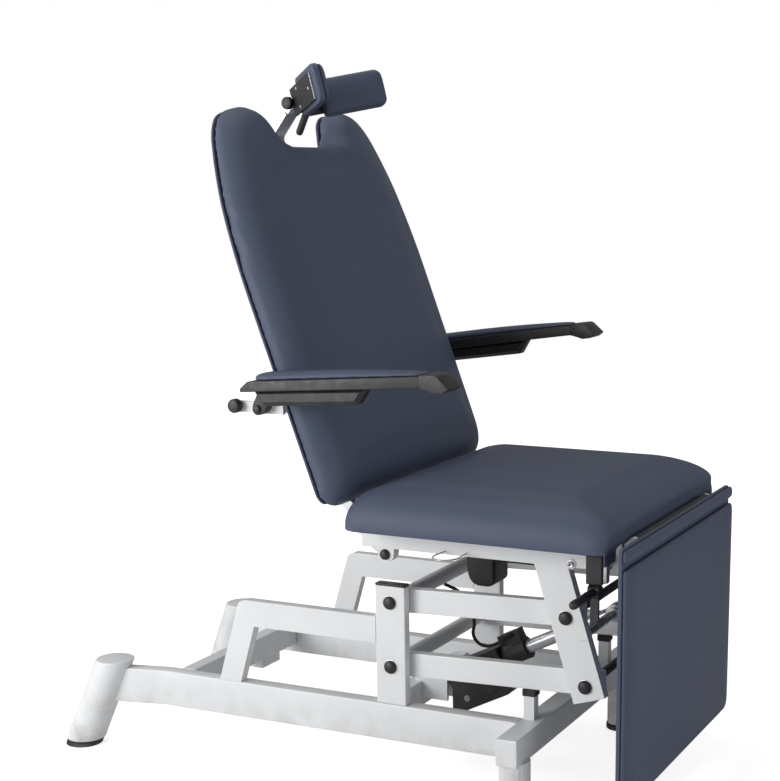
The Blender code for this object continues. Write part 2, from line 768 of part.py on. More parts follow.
# The lift lead leaves the gland, hangs in a loop and climbs to the upper torsion tube
def cord(name, points, radius, look, parent):
    curve = bpy.data.curves.new(name, "CURVE")
    curve.dimensions = "3D"
    curve.bevel_depth = radius
    curve.bevel_resolution = 1
    curve.resolution_u = 4
    curve.render_resolution_u = 0
    curve.use_fill_caps = True
    run = curve.splines.new("BEZIER")
    run.bezier_points.add(len(points) - 1)
    for spot, point in zip(run.bezier_points, points):
        spot.co = point
        spot.handle_left_type = "AUTO"
        spot.handle_right_type = "AUTO"
    holder = bpy.data.objects.new(name, curve)
    mesh = bpy.data.meshes.new_from_object(holder)
    shape = bmesh.new()
    shape.from_mesh(mesh)
    bmesh.ops.remove_doubles(shape, verts=shape.verts, dist=GAP / 10)
    bpy.data.objects.remove(holder)
    bpy.data.curves.remove(curve)
    bpy.data.meshes.remove(mesh)
    return finish(name, shape, look, parent, smooth=True)


LEAD_OUT = lift_frame @ Vector((COLLAR_FRONT - LEAD_SET, -GLAND_W / 2 - LEAD_R - GAP, GLAND_TOP - LEAD_DROP))
clip_reach = TORSION_R + LEAD_R + GAP
clip_angle = math.radians(CLIP_TURN)
LEAD_ROUTE = [
    LEAD_OUT,
    LEAD_OUT + Vector((-0.022, -0.006, 0.004)),
    Vector((0.195, -0.030, 0.262)),
    Vector((0.168, -0.032, 0.238)),
    Vector((0.146, -0.032, 0.246)),
    Vector((0.150, -0.030, 0.285)),
    Vector((0.140, -0.028, 0.318)),
    Vector((POST_X + clip_reach * math.cos(clip_angle), -0.026,
        UPPER_REAR_Z + clip_reach * math.sin(clip_angle))),
]
cord("lift_lead", LEAD_ROUTE, LEAD_R, RUBBER, lift_pivot)


# Seat frame: side weldments with slanted legs, cross tubes and small fittings
leg_run = Vector((LOWER_FRONT[0] - UPPER_FRONT[0], 0.0, LOWER_FRONT[1] - UPPER_FRONT[1]))
leg_frame = Matrix.Translation((UPPER_FRONT[0], 0.0, UPPER_FRONT[1])) @ Matrix.Rotation(
    -math.atan2(leg_run.z, leg_run.x), 4, "Y")
for side_name, side in SIDES:
    low_y, high_y = side_y(side, FRAME_HALF - SIDE_T, FRAME_HALF)
    middle_y = (low_y + high_y) / 2
    rail = finish("seat_side_" + side_name, span(
        bmesh.new(), (SEAT_RAIL_X0, low_y, SEAT_RAIL_LOW), (SEAT_RAIL_X1, high_y, SEAT_RAIL_TOP)), WHITE,
            seat_axis)
    soften(rail)
    leg_head = (SEAT_RAIL_LOW + SEAT_RAIL_H / 2 - UPPER_FRONT[1]) * leg_run.length / -leg_run.z
    leg = span(bmesh.new(), (-leg_head, low_y, -LEG_W / 2), (leg_run.length + LEG_TAIL, high_y, LEG_W / 2),
        leg_frame)
    combine(rail, leg, "UNION", "slanted leg " + side_name)
    lug = [(LUG_X + LUG_R, SEAT_RAIL_LOW + EDGE)] + arc((LUG_X, LUG_Z), LUG_R, 0, -180, 8)
    lug.append((LUG_X - LUG_R, SEAT_RAIL_LOW + EDGE))
    combine(rail, outline(lug, SIDE_T / 2, upright_plane(middle_y)), "UNION", "rear lug " + side_name)
    ear_low, ear_high = side_y(side, FRAME_HALF - SIDE_T, FRAME_HALF - SIDE_T + EAR_T)
    back_ear = [(SEAT_RAIL_X0 + EDGE, SEAT_RAIL_TOP - EDGE)] + arc(BACK_HINGE, EAR_R, 60, 215, 8)
    back_ear.append((SEAT_RAIL_X0 + EDGE, SEAT_RAIL_LOW + EDGE))
    combine(rail, outline(back_ear, EAR_T / 2, upright_plane((ear_low + ear_high) / 2)), "UNION",
        "back ear " + side_name)
    front_ear = [(SEAT_RAIL_X1 - EDGE, SEAT_RAIL_LOW + EDGE)] + arc(LEG_HINGE, BARREL_R, -60, 150, 8)
    front_ear.append((LEG_HINGE[0] - 2 * BARREL_R, SEAT_RAIL_TOP - EDGE))
    front_ear.append((SEAT_RAIL_X1 - EDGE, SEAT_RAIL_TOP - EDGE))
    combine(rail, outline(front_ear, EAR_T / 2, upright_plane((ear_low + ear_high) / 2)), "UNION",
        "front ear " + side_name)
    pins = bmesh.new()
    pin_in = side * (FRAME_HALF - SIDE_T - EAR_PIN_IN)
    pin_out = side * (FRAME_HALF - SIDE_T + EAR_T / 2)
    for hinge, pin_r in ((BACK_HINGE, EAR_PIN_R), (LEG_HINGE, LEG_PIN_R)):
        drum(pins, pin_r, (hinge[0], pin_in, hinge[1]), (hinge[0], pin_out, hinge[1]))
    combine(rail, pins, "UNION", "ear pins " + side_name)
    holes = bmesh.new()
    for spot in (UPPER_FRONT, LOWER_FRONT):
        drum(holes, hole_r, (spot[0], low_y - EDGE, spot[1]), (spot[0], high_y + EDGE, spot[1]))
    combine(rail, holes, "DIFFERENCE", "leg holes " + side_name)

tube_end = FRAME_HALF - SIDE_T - GAP
seat_tube = finish("seat_cross_tube", span(
    bmesh.new(), (TUBE_X - TUBE_W / 2, -tube_end, TUBE_Z - TUBE_W / 2),
    (TUBE_X + TUBE_W / 2, tube_end, TUBE_Z + TUBE_W / 2)), WHITE, seat_axis)
soften(seat_tube)
finish("lift_cross_shaft", drum(
    bmesh.new(), CROSS_R, (LIFT_FRONT[0], -tube_end, LIFT_FRONT[1]), (LIFT_FRONT[0], tube_end,
        LIFT_FRONT[1])),
    STEEL, seat_axis)
board_low = SEAT_RAIL_TOP + GAP
board_top = board_low + BOARD_T
board_half = SEAT_HALF - BOARD_INSET
seat_board = finish("seat_board", span(
    bmesh.new(), (SEAT_BOARD_X0, -board_half, board_low), (SEAT_BOARD_X1, board_half, board_top)), PLY,
        seat_axis)
soften(seat_board)
control_box = finish("control_box", span(
    bmesh.new(), (BOX_X0, -BOX_HALF, BOX_LOW), (BOX_X1, BOX_HALF, SEAT_RAIL_TOP)), BLACK, seat_axis)
soften(control_box, HOUSING_EDGE)
hook_in = -FRAME_HALF - GAP
HOOK_ROUTE = [
    Vector((HOOK_X0, hook_in, HOOK_Z)),
    Vector((HOOK_X0, -HOOK_OUT + HOOK_BEND, HOOK_Z)),
    Vector((HOOK_X0 + HOOK_BEND, -HOOK_OUT, HOOK_Z)),
    Vector((HOOK_X1 - HOOK_BEND, -HOOK_OUT, HOOK_Z)),
    Vector((HOOK_X1, -HOOK_OUT + HOOK_BEND, HOOK_Z)),
    Vector((HOOK_X1, hook_in, HOOK_Z)),
]
cord("handset_hook", HOOK_ROUTE, HOOK_R, STEEL, seat_axis)

seat_middle = Matrix.Translation(((SEAT_X0 + SEAT_X1) / 2, 0.0, board_low))
seat_cushion = soft_slab("seat_cushion", (SEAT_X1 - SEAT_X0, 2 * SEAT_HALF), SEAT_THICK, VINYL, seat_axis,
    seat_middle,
                         rows=SEAT_ROWS, nose=SEAT_NOSE_LIFT)
seat_pocket = span(bmesh.new(), (SEAT_BOARD_X0 - GAP, -board_half - GAP, board_low - BOARD_T),
                   (SEAT_BOARD_X1 + GAP, board_half + GAP, board_top + GAP))
combine(seat_cushion, seat_pocket, "DIFFERENCE", "seat board pocket")

# Leg rest lock and its hand lever under the right rail
lock_low, lock_high = side_y(-1, FRAME_HALF + GAP, FRAME_HALF + GAP + LOCK_T)
lock = finish("leg_rest_lock", span(
    bmesh.new(), (LOCK_X0, lock_low, LOCK_LOW), (LOCK_X1, lock_high, LOCK_TOP)), BLACK, seat_axis)
soften(lock)
lever_y = (lock_low + lock_high) / 2
lever_axis = axis_empty("lever_axis", (LEVER_X, lever_y, LEVER_Z), seat_axis)
hub_z = LOCK_LOW - GAP - LEVER_HUB_R
lever = finish("lock_lever", drum(
    bmesh.new(), LEVER_HUB_R, (LEVER_X - LEVER_HUB_HALF, lever_y, hub_z), (LEVER_X + LEVER_HUB_HALF,
        lever_y, hub_z)),
    BLACK, lever_axis)
combine(lever, drum(bmesh.new(), LEVER_R, (LEVER_X, lever_y, hub_z), (LEVER_X, LEVER_END_Y, hub_z)),
    "UNION", "lever grip")
pawl = [
    (LEVER_X - PAWL_HALF, hub_z), (LEVER_X - PAWL_HALF, PAWL_LOW), (LEVER_X - PAWL_HALF / 3, PAWL_LOW),
    (LEVER_X + PAWL_HALF, PAWL_SHOULDER), (LEVER_X + PAWL_HALF, hub_z)]
combine(lever, outline(pawl, PAWL_T / 2, upright_plane(lever_y)), "UNION", "lever pawl")


# Backrest: uprights, cross bars, board and cushion in a reclined frame
back_axis = axis_empty("back_axis", (BACK_HINGE[0], 0.0, BACK_HINGE[1]), seat_axis)
back_frame = Matrix.Translation((BACK_HINGE[0], 0.0, BACK_HINGE[1])) @ Matrix.Rotation(
    -math.radians(RECLINE), 4, "Y")
back_inverse = back_frame.inverted()
steel_front = BACK_PLANE - GAP
steel_rear = steel_front - UPRIGHT_D
for side_name, side in SIDES:
    low_y, high_y = side_y(side, UPRIGHT_Y - UPRIGHT_T / 2, UPRIGHT_Y + UPRIGHT_T / 2)
    mid_y = (low_y + high_y) / 2
    shank = [(steel_front, UPRIGHT_TOP), (steel_rear, UPRIGHT_TOP), (steel_rear, UPRIGHT_KNEE)]
    shank += arc((0.0, 0.0), UPRIGHT_EYE_R, 200, 370, 10)
    shank.append((steel_front, UPRIGHT_KNEE))
    upright = finish("back_upright_" + side_name, outline(
        shank, UPRIGHT_T / 2, back_frame @ upright_plane(mid_y)), WHITE, back_axis)
    bracket_low, bracket_high = side_y(side, BRACKET_Y, BRACKET_Y + BRACKET_T)
    bar_low, bar_high = side_y(side, UPRIGHT_Y, BRACKET_Y + EDGE)
    arm_z = ARM_PIVOT[1]
    outrigger = span(bmesh.new(), (BRACKET_BAR_X - BRACKET_BAR_W / 2, bar_low, arm_z - BRACKET_HALF_H + EDGE),
                     (BRACKET_BAR_X + BRACKET_BAR_W / 2, bar_high, arm_z + BRACKET_HALF_H - EDGE))
    combine(upright, outrigger, "UNION", "outrigger " + side_name)
    plate = span(bmesh.new(), (BRACKET_X0, bracket_low, arm_z - BRACKET_HALF_H),
                 (BRACKET_BAR_X + BRACKET_BAR_W / 2 + EDGE, bracket_high, arm_z + BRACKET_HALF_H))
    combine(upright, plate, "UNION", "arm bracket " + side_name)
    pin_in = side * (BRACKET_Y + BRACKET_T / 2)
    pin_out = side * (BRACKET_Y + BRACKET_T + 2 * GAP + REST_LUG_T + EDGE)
    pin = drum(bmesh.new(), REST_PIN_R, (ARM_PIVOT[0], pin_in, ARM_PIVOT[1]), (ARM_PIVOT[0], pin_out,
        ARM_PIVOT[1]))
    combine(upright, pin, "UNION", "arm pin " + side_name)
    eye = drum(bmesh.new(), EAR_PIN_R + RUNNING, (0, low_y - EDGE, 0), (0, high_y + EDGE, 0), SEGMENTS,
        back_frame)
    combine(upright, eye, "DIFFERENCE", "hinge eye " + side_name)

bar_half = UPRIGHT_Y - UPRIGHT_T / 2 - GAP
back_bar = finish("back_cross_bar", span(
    bmesh.new(), (steel_rear, -bar_half, BACK_BAR_LOW), (steel_front, bar_half, BACK_BAR_LOW + BACK_BAR_H),
        back_frame),
    WHITE, back_axis)
swing = math.radians(CRANK_SWING)
crank_rest = Vector((BACK_HINGE[0] - CRANK_DROP * math.tan(swing), 0.0, BACK_HINGE[1] - CRANK_DROP))
crank_local = back_inverse @ crank_rest
crank_run = Vector((crank_local.x, crank_local.z)).normalized()
crank_across = Vector((-crank_run.y, crank_run.x))
slot_near = crank_run * (CRANK_DROP - CRANK_PIN_R - 2 * EDGE)
slot_far = crank_run * (CRANK_DROP / math.cos(swing) + CRANK_PIN_R + 2 * EDGE)
tip = slot_far + crank_run * (CRANK_W - CRANK_SLOT_W) / 2
shoulder = slot_near - crank_run * (CRANK_W - CRANK_SLOT_W) / 2
wide = crank_across * CRANK_W / 2
crank_shape = [
    (steel_front - EDGE, BACK_BAR_LOW + EDGE),
    (steel_rear + EDGE, BACK_BAR_LOW + EDGE),
    tuple(shoulder - wide), tuple(tip - wide), tuple(tip + wide), tuple(shoulder + wide),
]
combine(back_bar, outline(crank_shape, CRANK_T / 2, back_frame @ upright_plane(0.0)), "UNION", "crank")
narrow = crank_across * CRANK_SLOT_W / 2
slot_shape = [tuple(slot_near - narrow), tuple(slot_far - narrow), tuple(slot_far + narrow),
    tuple(slot_near + narrow)]
combine(back_bar, outline(slot_shape, CRANK_T, back_frame @ upright_plane(0.0)), "DIFFERENCE", "crank slot")

guide = finish("headrest_guide", span(
    bmesh.new(), (steel_rear, -bar_half, GUIDE_Z), (steel_front, bar_half, GUIDE_Z + GUIDE_H), back_frame),
        WHITE, back_axis)
slot = span(bmesh.new(), (STRAP_X - STRAP_T / 2 - GAP, -STRAP_HALF - GAP, GUIDE_Z - EDGE),
            (STRAP_X + STRAP_T / 2 + GAP, STRAP_HALF + GAP, GUIDE_Z + GUIDE_H + EDGE), back_frame)
combine(guide, slot, "DIFFERENCE", "strap slot")


def back_top(y):
    reach = abs(y)
    if reach <= BACK_NOTCH_Y:
        return BACK_NOTCH
    if reach <= BACK_HORN_Y:
        share = (reach - BACK_NOTCH_Y) / (BACK_HORN_Y - BACK_NOTCH_Y)
        return BACK_NOTCH + (BACK_HORN - BACK_NOTCH) * math.sin(share * math.radians(90)) ** NOTCH_POWER
    share = min(1.0, (reach - BACK_HORN_Y) / (BACK_HALF - BACK_HORN_Y))
    return BACK_SHOULDER + (BACK_HORN - BACK_SHOULDER) * math.sqrt(1 - share * share)


BOARD_STEPS = 40


def back_outline(inset):
    reach = BACK_HALF - inset
    made = []
    for step in range(BOARD_STEPS + 1):
        y = -reach + 2 * reach * step / BOARD_STEPS
        made.append((y, back_top(y * BACK_HALF / reach) - inset))
    made.append((reach, BACK_LOW + inset))
    made.append((-reach, BACK_LOW + inset))
    return made


def back_plane_at(depth):
    return back_frame @ Matrix.Translation((depth, 0.0, 0.0)) @ Matrix(
        ((0, 0, 1, 0), (1, 0, 0, 0), (0, 1, 0, 0), (0, 0, 0, 1)))


finish("backrest_board", outline(
    back_outline(BOARD_INSET), BOARD_T / 2, back_plane_at(BACK_PLANE + BOARD_T / 2)), PLY, back_axis)

back_middle = (BACK_LOW + BACK_HORN) / 2
back_length = BACK_HORN - BACK_LOW


def back_warp(up, across):
    level = up + back_middle
    share = (level - BACK_LOW) / back_length
    return BACK_LOW + share * (back_top(across) - BACK_LOW) - back_middle, across


notch_share = BACK_NOTCH_Y / BACK_HALF
horn_share = BACK_HORN_Y / BACK_HALF
back_columns = (
    -1.0, -0.88, -horn_share, -0.45, -notch_share, 0.0, notch_share, 0.45, horn_share, 0.88, 1.0)
back_rows = (-1.0, -0.93, -0.7, -0.3, 0.1, 0.5, 0.8, 0.94, 1.0)
cushion_plane = Matrix.Translation((BACK_PLANE, 0.0, back_middle)) @ Matrix(
    ((0, 0, 1, 0), (0, -1, 0, 0), (1, 0, 0, 0), (0, 0, 0, 1)))
back_cushion = soft_slab("backrest_cushion", (back_length, 2 * BACK_HALF), BACK_FACE - BACK_PLANE, VINYL,
    back_axis,
                         back_frame @ cushion_plane, rows=back_rows, columns=back_columns, warp=back_warp)
combine(back_cushion, outline(
    back_outline(BOARD_INSET - GAP), BOARD_T / 2 + GAP, back_plane_at(BACK_PLANE + BOARD_T / 2)),
        "DIFFERENCE",
    "back board pocket")

# Back actuator under the seat: fixed housing, sliding rod with a forked end on the crank
rod_z = BACK_HINGE[1] - CRANK_DROP
back_motor = finish("back_motor", span(
    bmesh.new(), (BACK_MOTOR_X0, -BACK_MOTOR_HALF, BACK_MOTOR_LOW), (BACK_MOTOR_X1, BACK_MOTOR_HALF,
        BACK_MOTOR_TOP)),
    BLACK, seat_axis)
soften(back_motor, BACK_MOTOR_EDGE)
combine(back_motor, drum(bmesh.new(), BACK_TUBE_R, (BACK_MOTOR_X1 - EDGE, 0, rod_z), (BACK_TUBE_X1, 0,
    rod_z)),
        "UNION", "back tube")
hanger = span(bmesh.new(), (BACK_TUBE_X1 - EDGE, -BACK_LUG_HALF, rod_z - BACK_LUG_HALF),
              (BACK_LUG_X1, BACK_LUG_HALF, TUBE_Z - TUBE_W / 2 - GAP))
combine(back_motor, hanger, "UNION", "back hanger")
combine(back_motor, drum(
    bmesh.new(), BACK_ROD_R + RUNNING, (BACK_MOTOR_X0 - EDGE, 0, rod_z), (BACK_BORE_IN, 0, rod_z)),
    "DIFFERENCE", "back bore")
back_rod_axis = axis_empty("back_rod_axis", tuple(crank_rest), seat_axis)
back_rod = finish("back_rod", drum(
    bmesh.new(), BACK_ROD_R, (crank_rest.x + FORK_LEN - EDGE, 0, rod_z), (BACK_ROD_IN, 0, rod_z)), STEEL,
        back_rod_axis)
fork = span(bmesh.new(), (crank_rest.x - FORK_R, -FORK_HALF, rod_z - FORK_R),
            (crank_rest.x + FORK_LEN, FORK_HALF, rod_z + FORK_R))
combine(back_rod, fork, "UNION", "fork")
fork_slot = CRANK_T / 2 + GAP
mouth = span(bmesh.new(), (crank_rest.x - FORK_R - EDGE, -fork_slot, rod_z - FORK_R - EDGE),
             (crank_rest.x + FORK_LEN - 2 * EDGE, fork_slot, rod_z + FORK_R + EDGE))
combine(back_rod, mouth, "DIFFERENCE", "fork mouth")
pin_half = FORK_HALF - EDGE
combine(back_rod, drum(
    bmesh.new(), CRANK_PIN_R, (crank_rest.x, -pin_half, rod_z), (crank_rest.x, pin_half, rod_z)), "UNION",
        "fork pin")


# Armrests: moulded body on a pivot behind the backrest, pad on top, clamp knob
def rest_frame(side_name):
    return Matrix.Translation((ARM_PIVOT[0], 0.0, ARM_PIVOT[1])) @ Matrix.Rotation(
        -math.radians(REST_TILT[side_name]), 4, "Y")


for side_name, side in SIDES:
    frame = rest_frame(side_name)
    tilt_axis = axis_empty("armrest_axis_" + side_name, (ARM_PIVOT[0], side * REST_Y, ARM_PIVOT[1]),
        back_axis)
    bar = [
        (REST_REAR, REST_LOW), (REST_NOSE_IN, REST_LOW), (REST_NOSE - NOSE_LIP, REST_LOW + NOSE_CHIN),
        (REST_NOSE, REST_LOW + NOSE_TIP), (REST_NOSE - NOSE_BROW, REST_TOP - NOSE_DROP), (REST_NOSE_IN,
            REST_TOP),
        (REST_REAR_TOP, REST_TOP), (REST_REAR, REST_TOP - REAR_DROP)]
    rest = finish("armrest_" + side_name, outline(
        bar, REST_HALF, frame @ upright_plane(side * REST_Y)), BLACK, tilt_axis)
    soften(rest, REST_EDGE)
    keel = [
        (REST_BOX_X0, REST_LOW + EDGE), (REST_BOX_X0 + REST_BOX_SLOPE, REST_BOX_LOW),
        (REST_BOX_X1 - REST_BOX_SLOPE, REST_BOX_LOW), (REST_BOX_X1, REST_LOW + EDGE)]
    combine(rest, outline(keel, REST_BOX_HALF, frame @ upright_plane(side * (REST_Y + KEEL_SET))), "UNION",
        "keel " + side_name)
    lug_in = BRACKET_Y + BRACKET_T + GAP
    lug_mid = side * (lug_in + REST_LUG_T / 2)
    lug = arc((0.0, 0.0), REST_LUG_R, 180, 360, 10) + [(REST_LUG_R, REST_LOW + EDGE), (-REST_LUG_R,
        REST_LOW + EDGE)]
    combine(rest, outline(lug, REST_LUG_T / 2, frame @ upright_plane(lug_mid)), "UNION",
        "rest lug " + side_name)
    eye_low, eye_high = side_y(side, lug_in - EDGE / 10, lug_in + REST_LUG_T + 2 * EDGE)
    eye = drum(bmesh.new(), REST_PIN_R + RUNNING, (ARM_PIVOT[0], eye_low, ARM_PIVOT[1]),
               (ARM_PIVOT[0], eye_high, ARM_PIVOT[1]))
    combine(rest, eye, "DIFFERENCE", "rest eye " + side_name)
    pad_plane = frame @ Matrix.Translation(((REST_PAD_X0 + REST_PAD_X1) / 2, side * REST_Y, REST_TOP + GAP))
    soft_slab("arm_pad_" + side_name, (REST_PAD_X1 - REST_PAD_X0, 2 * REST_HALF - EDGE), REST_PAD_H, VINYL,
        tilt_axis,
              pad_plane, rows=(-1.0, -0.96, -0.4, 0.4, 0.96, 1.0), columns=(-1.0, -0.7, 0.0, 0.7, 1.0),
                  tuck=PAD_TUCK / 2)
    knob_in = BRACKET_Y + BRACKET_T + GAP
    knob_axis = axis_empty("arm_knob_axis_" + side_name, (KNOB_X, side * knob_in, KNOB_Z), back_axis)
    knob = [(0.0, KNOB_H), (KNOB_R * 0.7, KNOB_H), (KNOB_R, KNOB_H * 0.8), (KNOB_R, KNOB_H * 0.2),
        (KNOB_R * 0.8, 0.0),
            (0.0, 0.0)]
    turned("arm_knob_" + side_name, knob, BLACK, knob_axis, (KNOB_X, side * knob_in, KNOB_Z),
           (math.radians(-90 * side), 0.0, 0.0))

# Headrest: strap in the guide, tilting clamp, knob and two pads in a shallow V
strap_axis = axis_empty("strap_axis", (BACK_HINGE[0], 0.0, BACK_HINGE[1]), back_axis)
half_t = STRAP_T / 2
neck = Vector((HEAD_PIVOT[0] - STRAP_X, HEAD_PIVOT[1] - HEAD_LUG_R - STRAP_BEND))
strap_shape = [
    (STRAP_X - half_t, STRAP_LOW), (STRAP_X + half_t, STRAP_LOW), (STRAP_X + half_t, STRAP_BEND - half_t),
    (HEAD_PIVOT[0] - HEAD_LUG_R * 0.6, HEAD_PIVOT[1] - HEAD_LUG_R * 1.15),
    (HEAD_PIVOT[0] - HEAD_LUG_R * 0.6, HEAD_PIVOT[1]),
    (STRAP_X - half_t, STRAP_BEND + half_t)]
strap = finish("headrest_strap", outline(strap_shape, STRAP_HALF, back_frame @ upright_plane(0.0)), STEEL,
    strap_axis)
pivot = Vector((HEAD_PIVOT[0], 0.0, HEAD_PIVOT[1]))
across = Vector((0.0, 1.0, 0.0))
combine(strap, drum(bmesh.new(), HEAD_LUG_R, pivot - across * STRAP_HALF, pivot + across * STRAP_HALF,
    SEGMENTS, back_frame),
        "UNION", "strap lug")
combine(strap, drum(
    bmesh.new(), HEAD_PIN_R + RUNNING, pivot - across * (STRAP_HALF + EDGE),
        pivot + across * (STRAP_HALF + EDGE), SEGMENTS,
    back_frame), "DIFFERENCE", "strap eye")

pivot_world = back_frame @ pivot
head_frame = back_frame @ Matrix.Translation(pivot) @ Matrix.Rotation(
    -math.radians(HEAD_TIP), 4, "Y") @ Matrix.Translation(-pivot)
tilt_axis = axis_empty("head_tilt_axis", tuple(pivot_world), strap_axis)
clamp = finish("headrest_clamp", span(
    bmesh.new(), (CLAMP_X0, -CLAMP_HALF, CLAMP_LOW), (CLAMP_X1, CLAMP_HALF, CLAMP_TOP), head_frame), BLACK,
        tilt_axis)
soften(clamp, HOUSING_EDGE)
cheeks = bmesh.new()
for side_name, side in SIDES:
    low_y, high_y = side_y(side, STRAP_HALF + GAP, CLAMP_HALF)
    span(cheeks, (HEAD_PIVOT[0] - HEAD_LUG_R * 0.8, low_y, HEAD_PIVOT[1] - HEAD_LUG_R * 0.8),
         (CLAMP_X0 + 3 * EDGE, high_y, HEAD_PIVOT[1] + HEAD_LUG_R * 0.8), head_frame)
combine(clamp, cheeks, "UNION", "clamp cheeks")
pin_half = CLAMP_HALF - EDGE
combine(clamp, drum(bmesh.new(), HEAD_PIN_R, pivot - across * pin_half, pivot + across * pin_half, SEGMENTS,
    head_frame),
        "UNION", "clamp pin")
for side_name, side in SIDES:
    yaw = Matrix.Rotation(math.radians(-side * HEAD_YAW), 4, "Z")
    root = head_frame @ Matrix.Translation(pivot) @ Matrix.Translation((HEAD_FORE, 0.0, HEAD_UP)) @ yaw
    inner_y, outer_y = side_y(side, WING_IN, WING_OUT)
    wing = span(bmesh.new(), (-WING_T - GAP, inner_y, -WING_H / 2), (-GAP, outer_y, WING_H / 2), root)
    combine(clamp, wing, "UNION", "wing " + side_name)
    centre_y = side * (HEAD_INNER + HEAD_LEN / 2)
    pad_plane = root @ Matrix.Translation((0.0, centre_y, 0.0)) @ Matrix(
        ((0, 0, 1, 0), (1, 0, 0, 0), (0, 1, 0, 0), (0, 0, 0, 1)))
    soft_slab("head_pad_" + side_name, (HEAD_LEN, HEAD_H), HEAD_T, VINYL, tilt_axis, pad_plane,
              rows=(-1.0, -0.75, 0.0, 0.75, 1.0), columns=(-1.0, -0.7, 0.0, 0.7, 1.0), tuck=PAD_TUCK)
handle = bmesh.new()
drum(handle, HANDLE_R, (HANDLE_ROOT[0], 0.0, HANDLE_ROOT[1]), (HANDLE_END[0], 0.0, HANDLE_END[1]), 16,
    head_frame)
combine(clamp, handle, "UNION", "clamp handle")
handle_tip = bmesh.new()
bmesh.ops.create_uvsphere(
    handle_tip, u_segments=16, v_segments=9, radius=HANDLE_R * TIP_SHARE,
    matrix=head_frame @ Matrix.Translation((HANDLE_END[0], 0.0, HANDLE_END[1])))
combine(clamp, handle_tip, "UNION", "handle tip")
knob_at = back_frame @ Vector((HEAD_PIVOT[0], -CLAMP_HALF - GAP, HEAD_PIVOT[1]))
head_knob_axis = axis_empty("head_knob_axis", tuple(knob_at), tilt_axis)
head_knob = [(0.0, HEAD_KNOB_H), (HEAD_KNOB_R * 0.75, HEAD_KNOB_H), (HEAD_KNOB_R, HEAD_KNOB_H * 0.8),
             (HEAD_KNOB_R, HEAD_KNOB_H * 0.25), (HEAD_KNOB_R * 0.7, 0.0), (0.0, 0.0)]
turned("headrest_knob", head_knob, BLACK, head_knob_axis, tuple(knob_at), (math.radians(90), 0.0, 0.0))


# Leg rest: hinge leaf, thin board and cushion, hanging from the seat's front ears
leg_axis = axis_empty("leg_rest_axis", (LEG_HINGE[0], 0.0, LEG_HINGE[1]), seat_axis)
leaf = finish("leg_rest_hinge", drum(
    bmesh.new(), BARREL_R, (LEG_HINGE[0], -tube_end, LEG_HINGE[1]), (LEG_HINGE[0], tube_end, LEG_HINGE[1])),
        WHITE, leg_axis)
leaf_front = LEG_BACK - GAP
combine(leaf, span(bmesh.new(), (leaf_front - LEAF_T, -LEAF_HALF, LEAF_LOW), (leaf_front, LEAF_HALF,
    LEG_HINGE[1])),
        "UNION", "hinge leaf")
sockets = bmesh.new()
for side_name, side in SIDES:
    drum(sockets, LEG_PIN_R + RUNNING, (LEG_HINGE[0], side * (tube_end + EDGE), LEG_HINGE[1]),
         (LEG_HINGE[0], side * (tube_end - EAR_PIN_IN - EDGE), LEG_HINGE[1]))
combine(leaf, sockets, "DIFFERENCE", "hinge sockets")
leg_board_half = LEG_HALF - LEG_BOARD_INSET
leg_board = finish("leg_rest_board", span(
    bmesh.new(), (LEG_BACK, -leg_board_half, LEG_LOW), (LEG_BACK + LEG_BOARD_T, leg_board_half, LEG_TOP)),
        VINYL, leg_axis)
soften(leg_board)
leg_middle = (LEG_FOAM_TOP + LEG_LOW) / 2
foam_back = LEG_BACK + LEG_BOARD_T + GAP
leg_plane = Matrix.Translation((foam_back, 0.0, leg_middle)) @ Matrix(
    ((0, 0, 1, 0), (0, -1, 0, 0), (1, 0, 0, 0), (0, 0, 0, 1)))
soft_slab("leg_rest_cushion", (LEG_FOAM_TOP - LEG_LOW, 2 * LEG_HALF), LEG_FACE - foam_back, VINYL, leg_axis,
    leg_plane,
          tuck=CUSHION_TUCK)


# Whole chair: drawn from the frame's own datum, then moved so that the origin lies on the floor
# under the middle of its box
whole = bpy.data.objects.new("whole_chair", None)
bpy.context.scene.collection.objects.link(whole)
for made in list(bpy.data.objects):
    if made.parent is None and made != whole:
        made.parent = whole
whole.location.x = MIDDLE_SHIFT
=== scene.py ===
import json
import math

import bmesh
import bpy
from mathutils import Matrix, Vector

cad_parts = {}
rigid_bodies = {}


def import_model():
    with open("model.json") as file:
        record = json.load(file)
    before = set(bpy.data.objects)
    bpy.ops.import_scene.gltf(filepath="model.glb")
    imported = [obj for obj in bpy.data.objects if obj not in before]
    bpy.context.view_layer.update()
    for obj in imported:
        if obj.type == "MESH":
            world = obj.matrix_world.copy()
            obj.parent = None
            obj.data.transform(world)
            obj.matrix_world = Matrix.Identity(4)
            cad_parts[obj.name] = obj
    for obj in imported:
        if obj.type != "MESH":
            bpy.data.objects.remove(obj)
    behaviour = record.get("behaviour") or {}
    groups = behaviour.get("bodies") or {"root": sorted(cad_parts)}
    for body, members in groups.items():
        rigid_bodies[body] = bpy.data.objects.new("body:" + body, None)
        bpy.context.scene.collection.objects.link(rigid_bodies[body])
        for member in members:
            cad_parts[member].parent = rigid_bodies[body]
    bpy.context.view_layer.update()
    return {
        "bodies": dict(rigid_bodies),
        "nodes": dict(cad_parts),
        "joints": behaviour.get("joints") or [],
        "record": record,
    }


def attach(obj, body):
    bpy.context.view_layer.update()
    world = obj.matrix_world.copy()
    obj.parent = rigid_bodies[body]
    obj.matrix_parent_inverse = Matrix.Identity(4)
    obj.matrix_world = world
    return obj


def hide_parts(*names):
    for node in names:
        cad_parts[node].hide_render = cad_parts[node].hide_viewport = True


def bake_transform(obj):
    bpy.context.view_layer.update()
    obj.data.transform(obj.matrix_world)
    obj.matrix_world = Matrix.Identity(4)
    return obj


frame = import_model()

nodes = frame["nodes"]

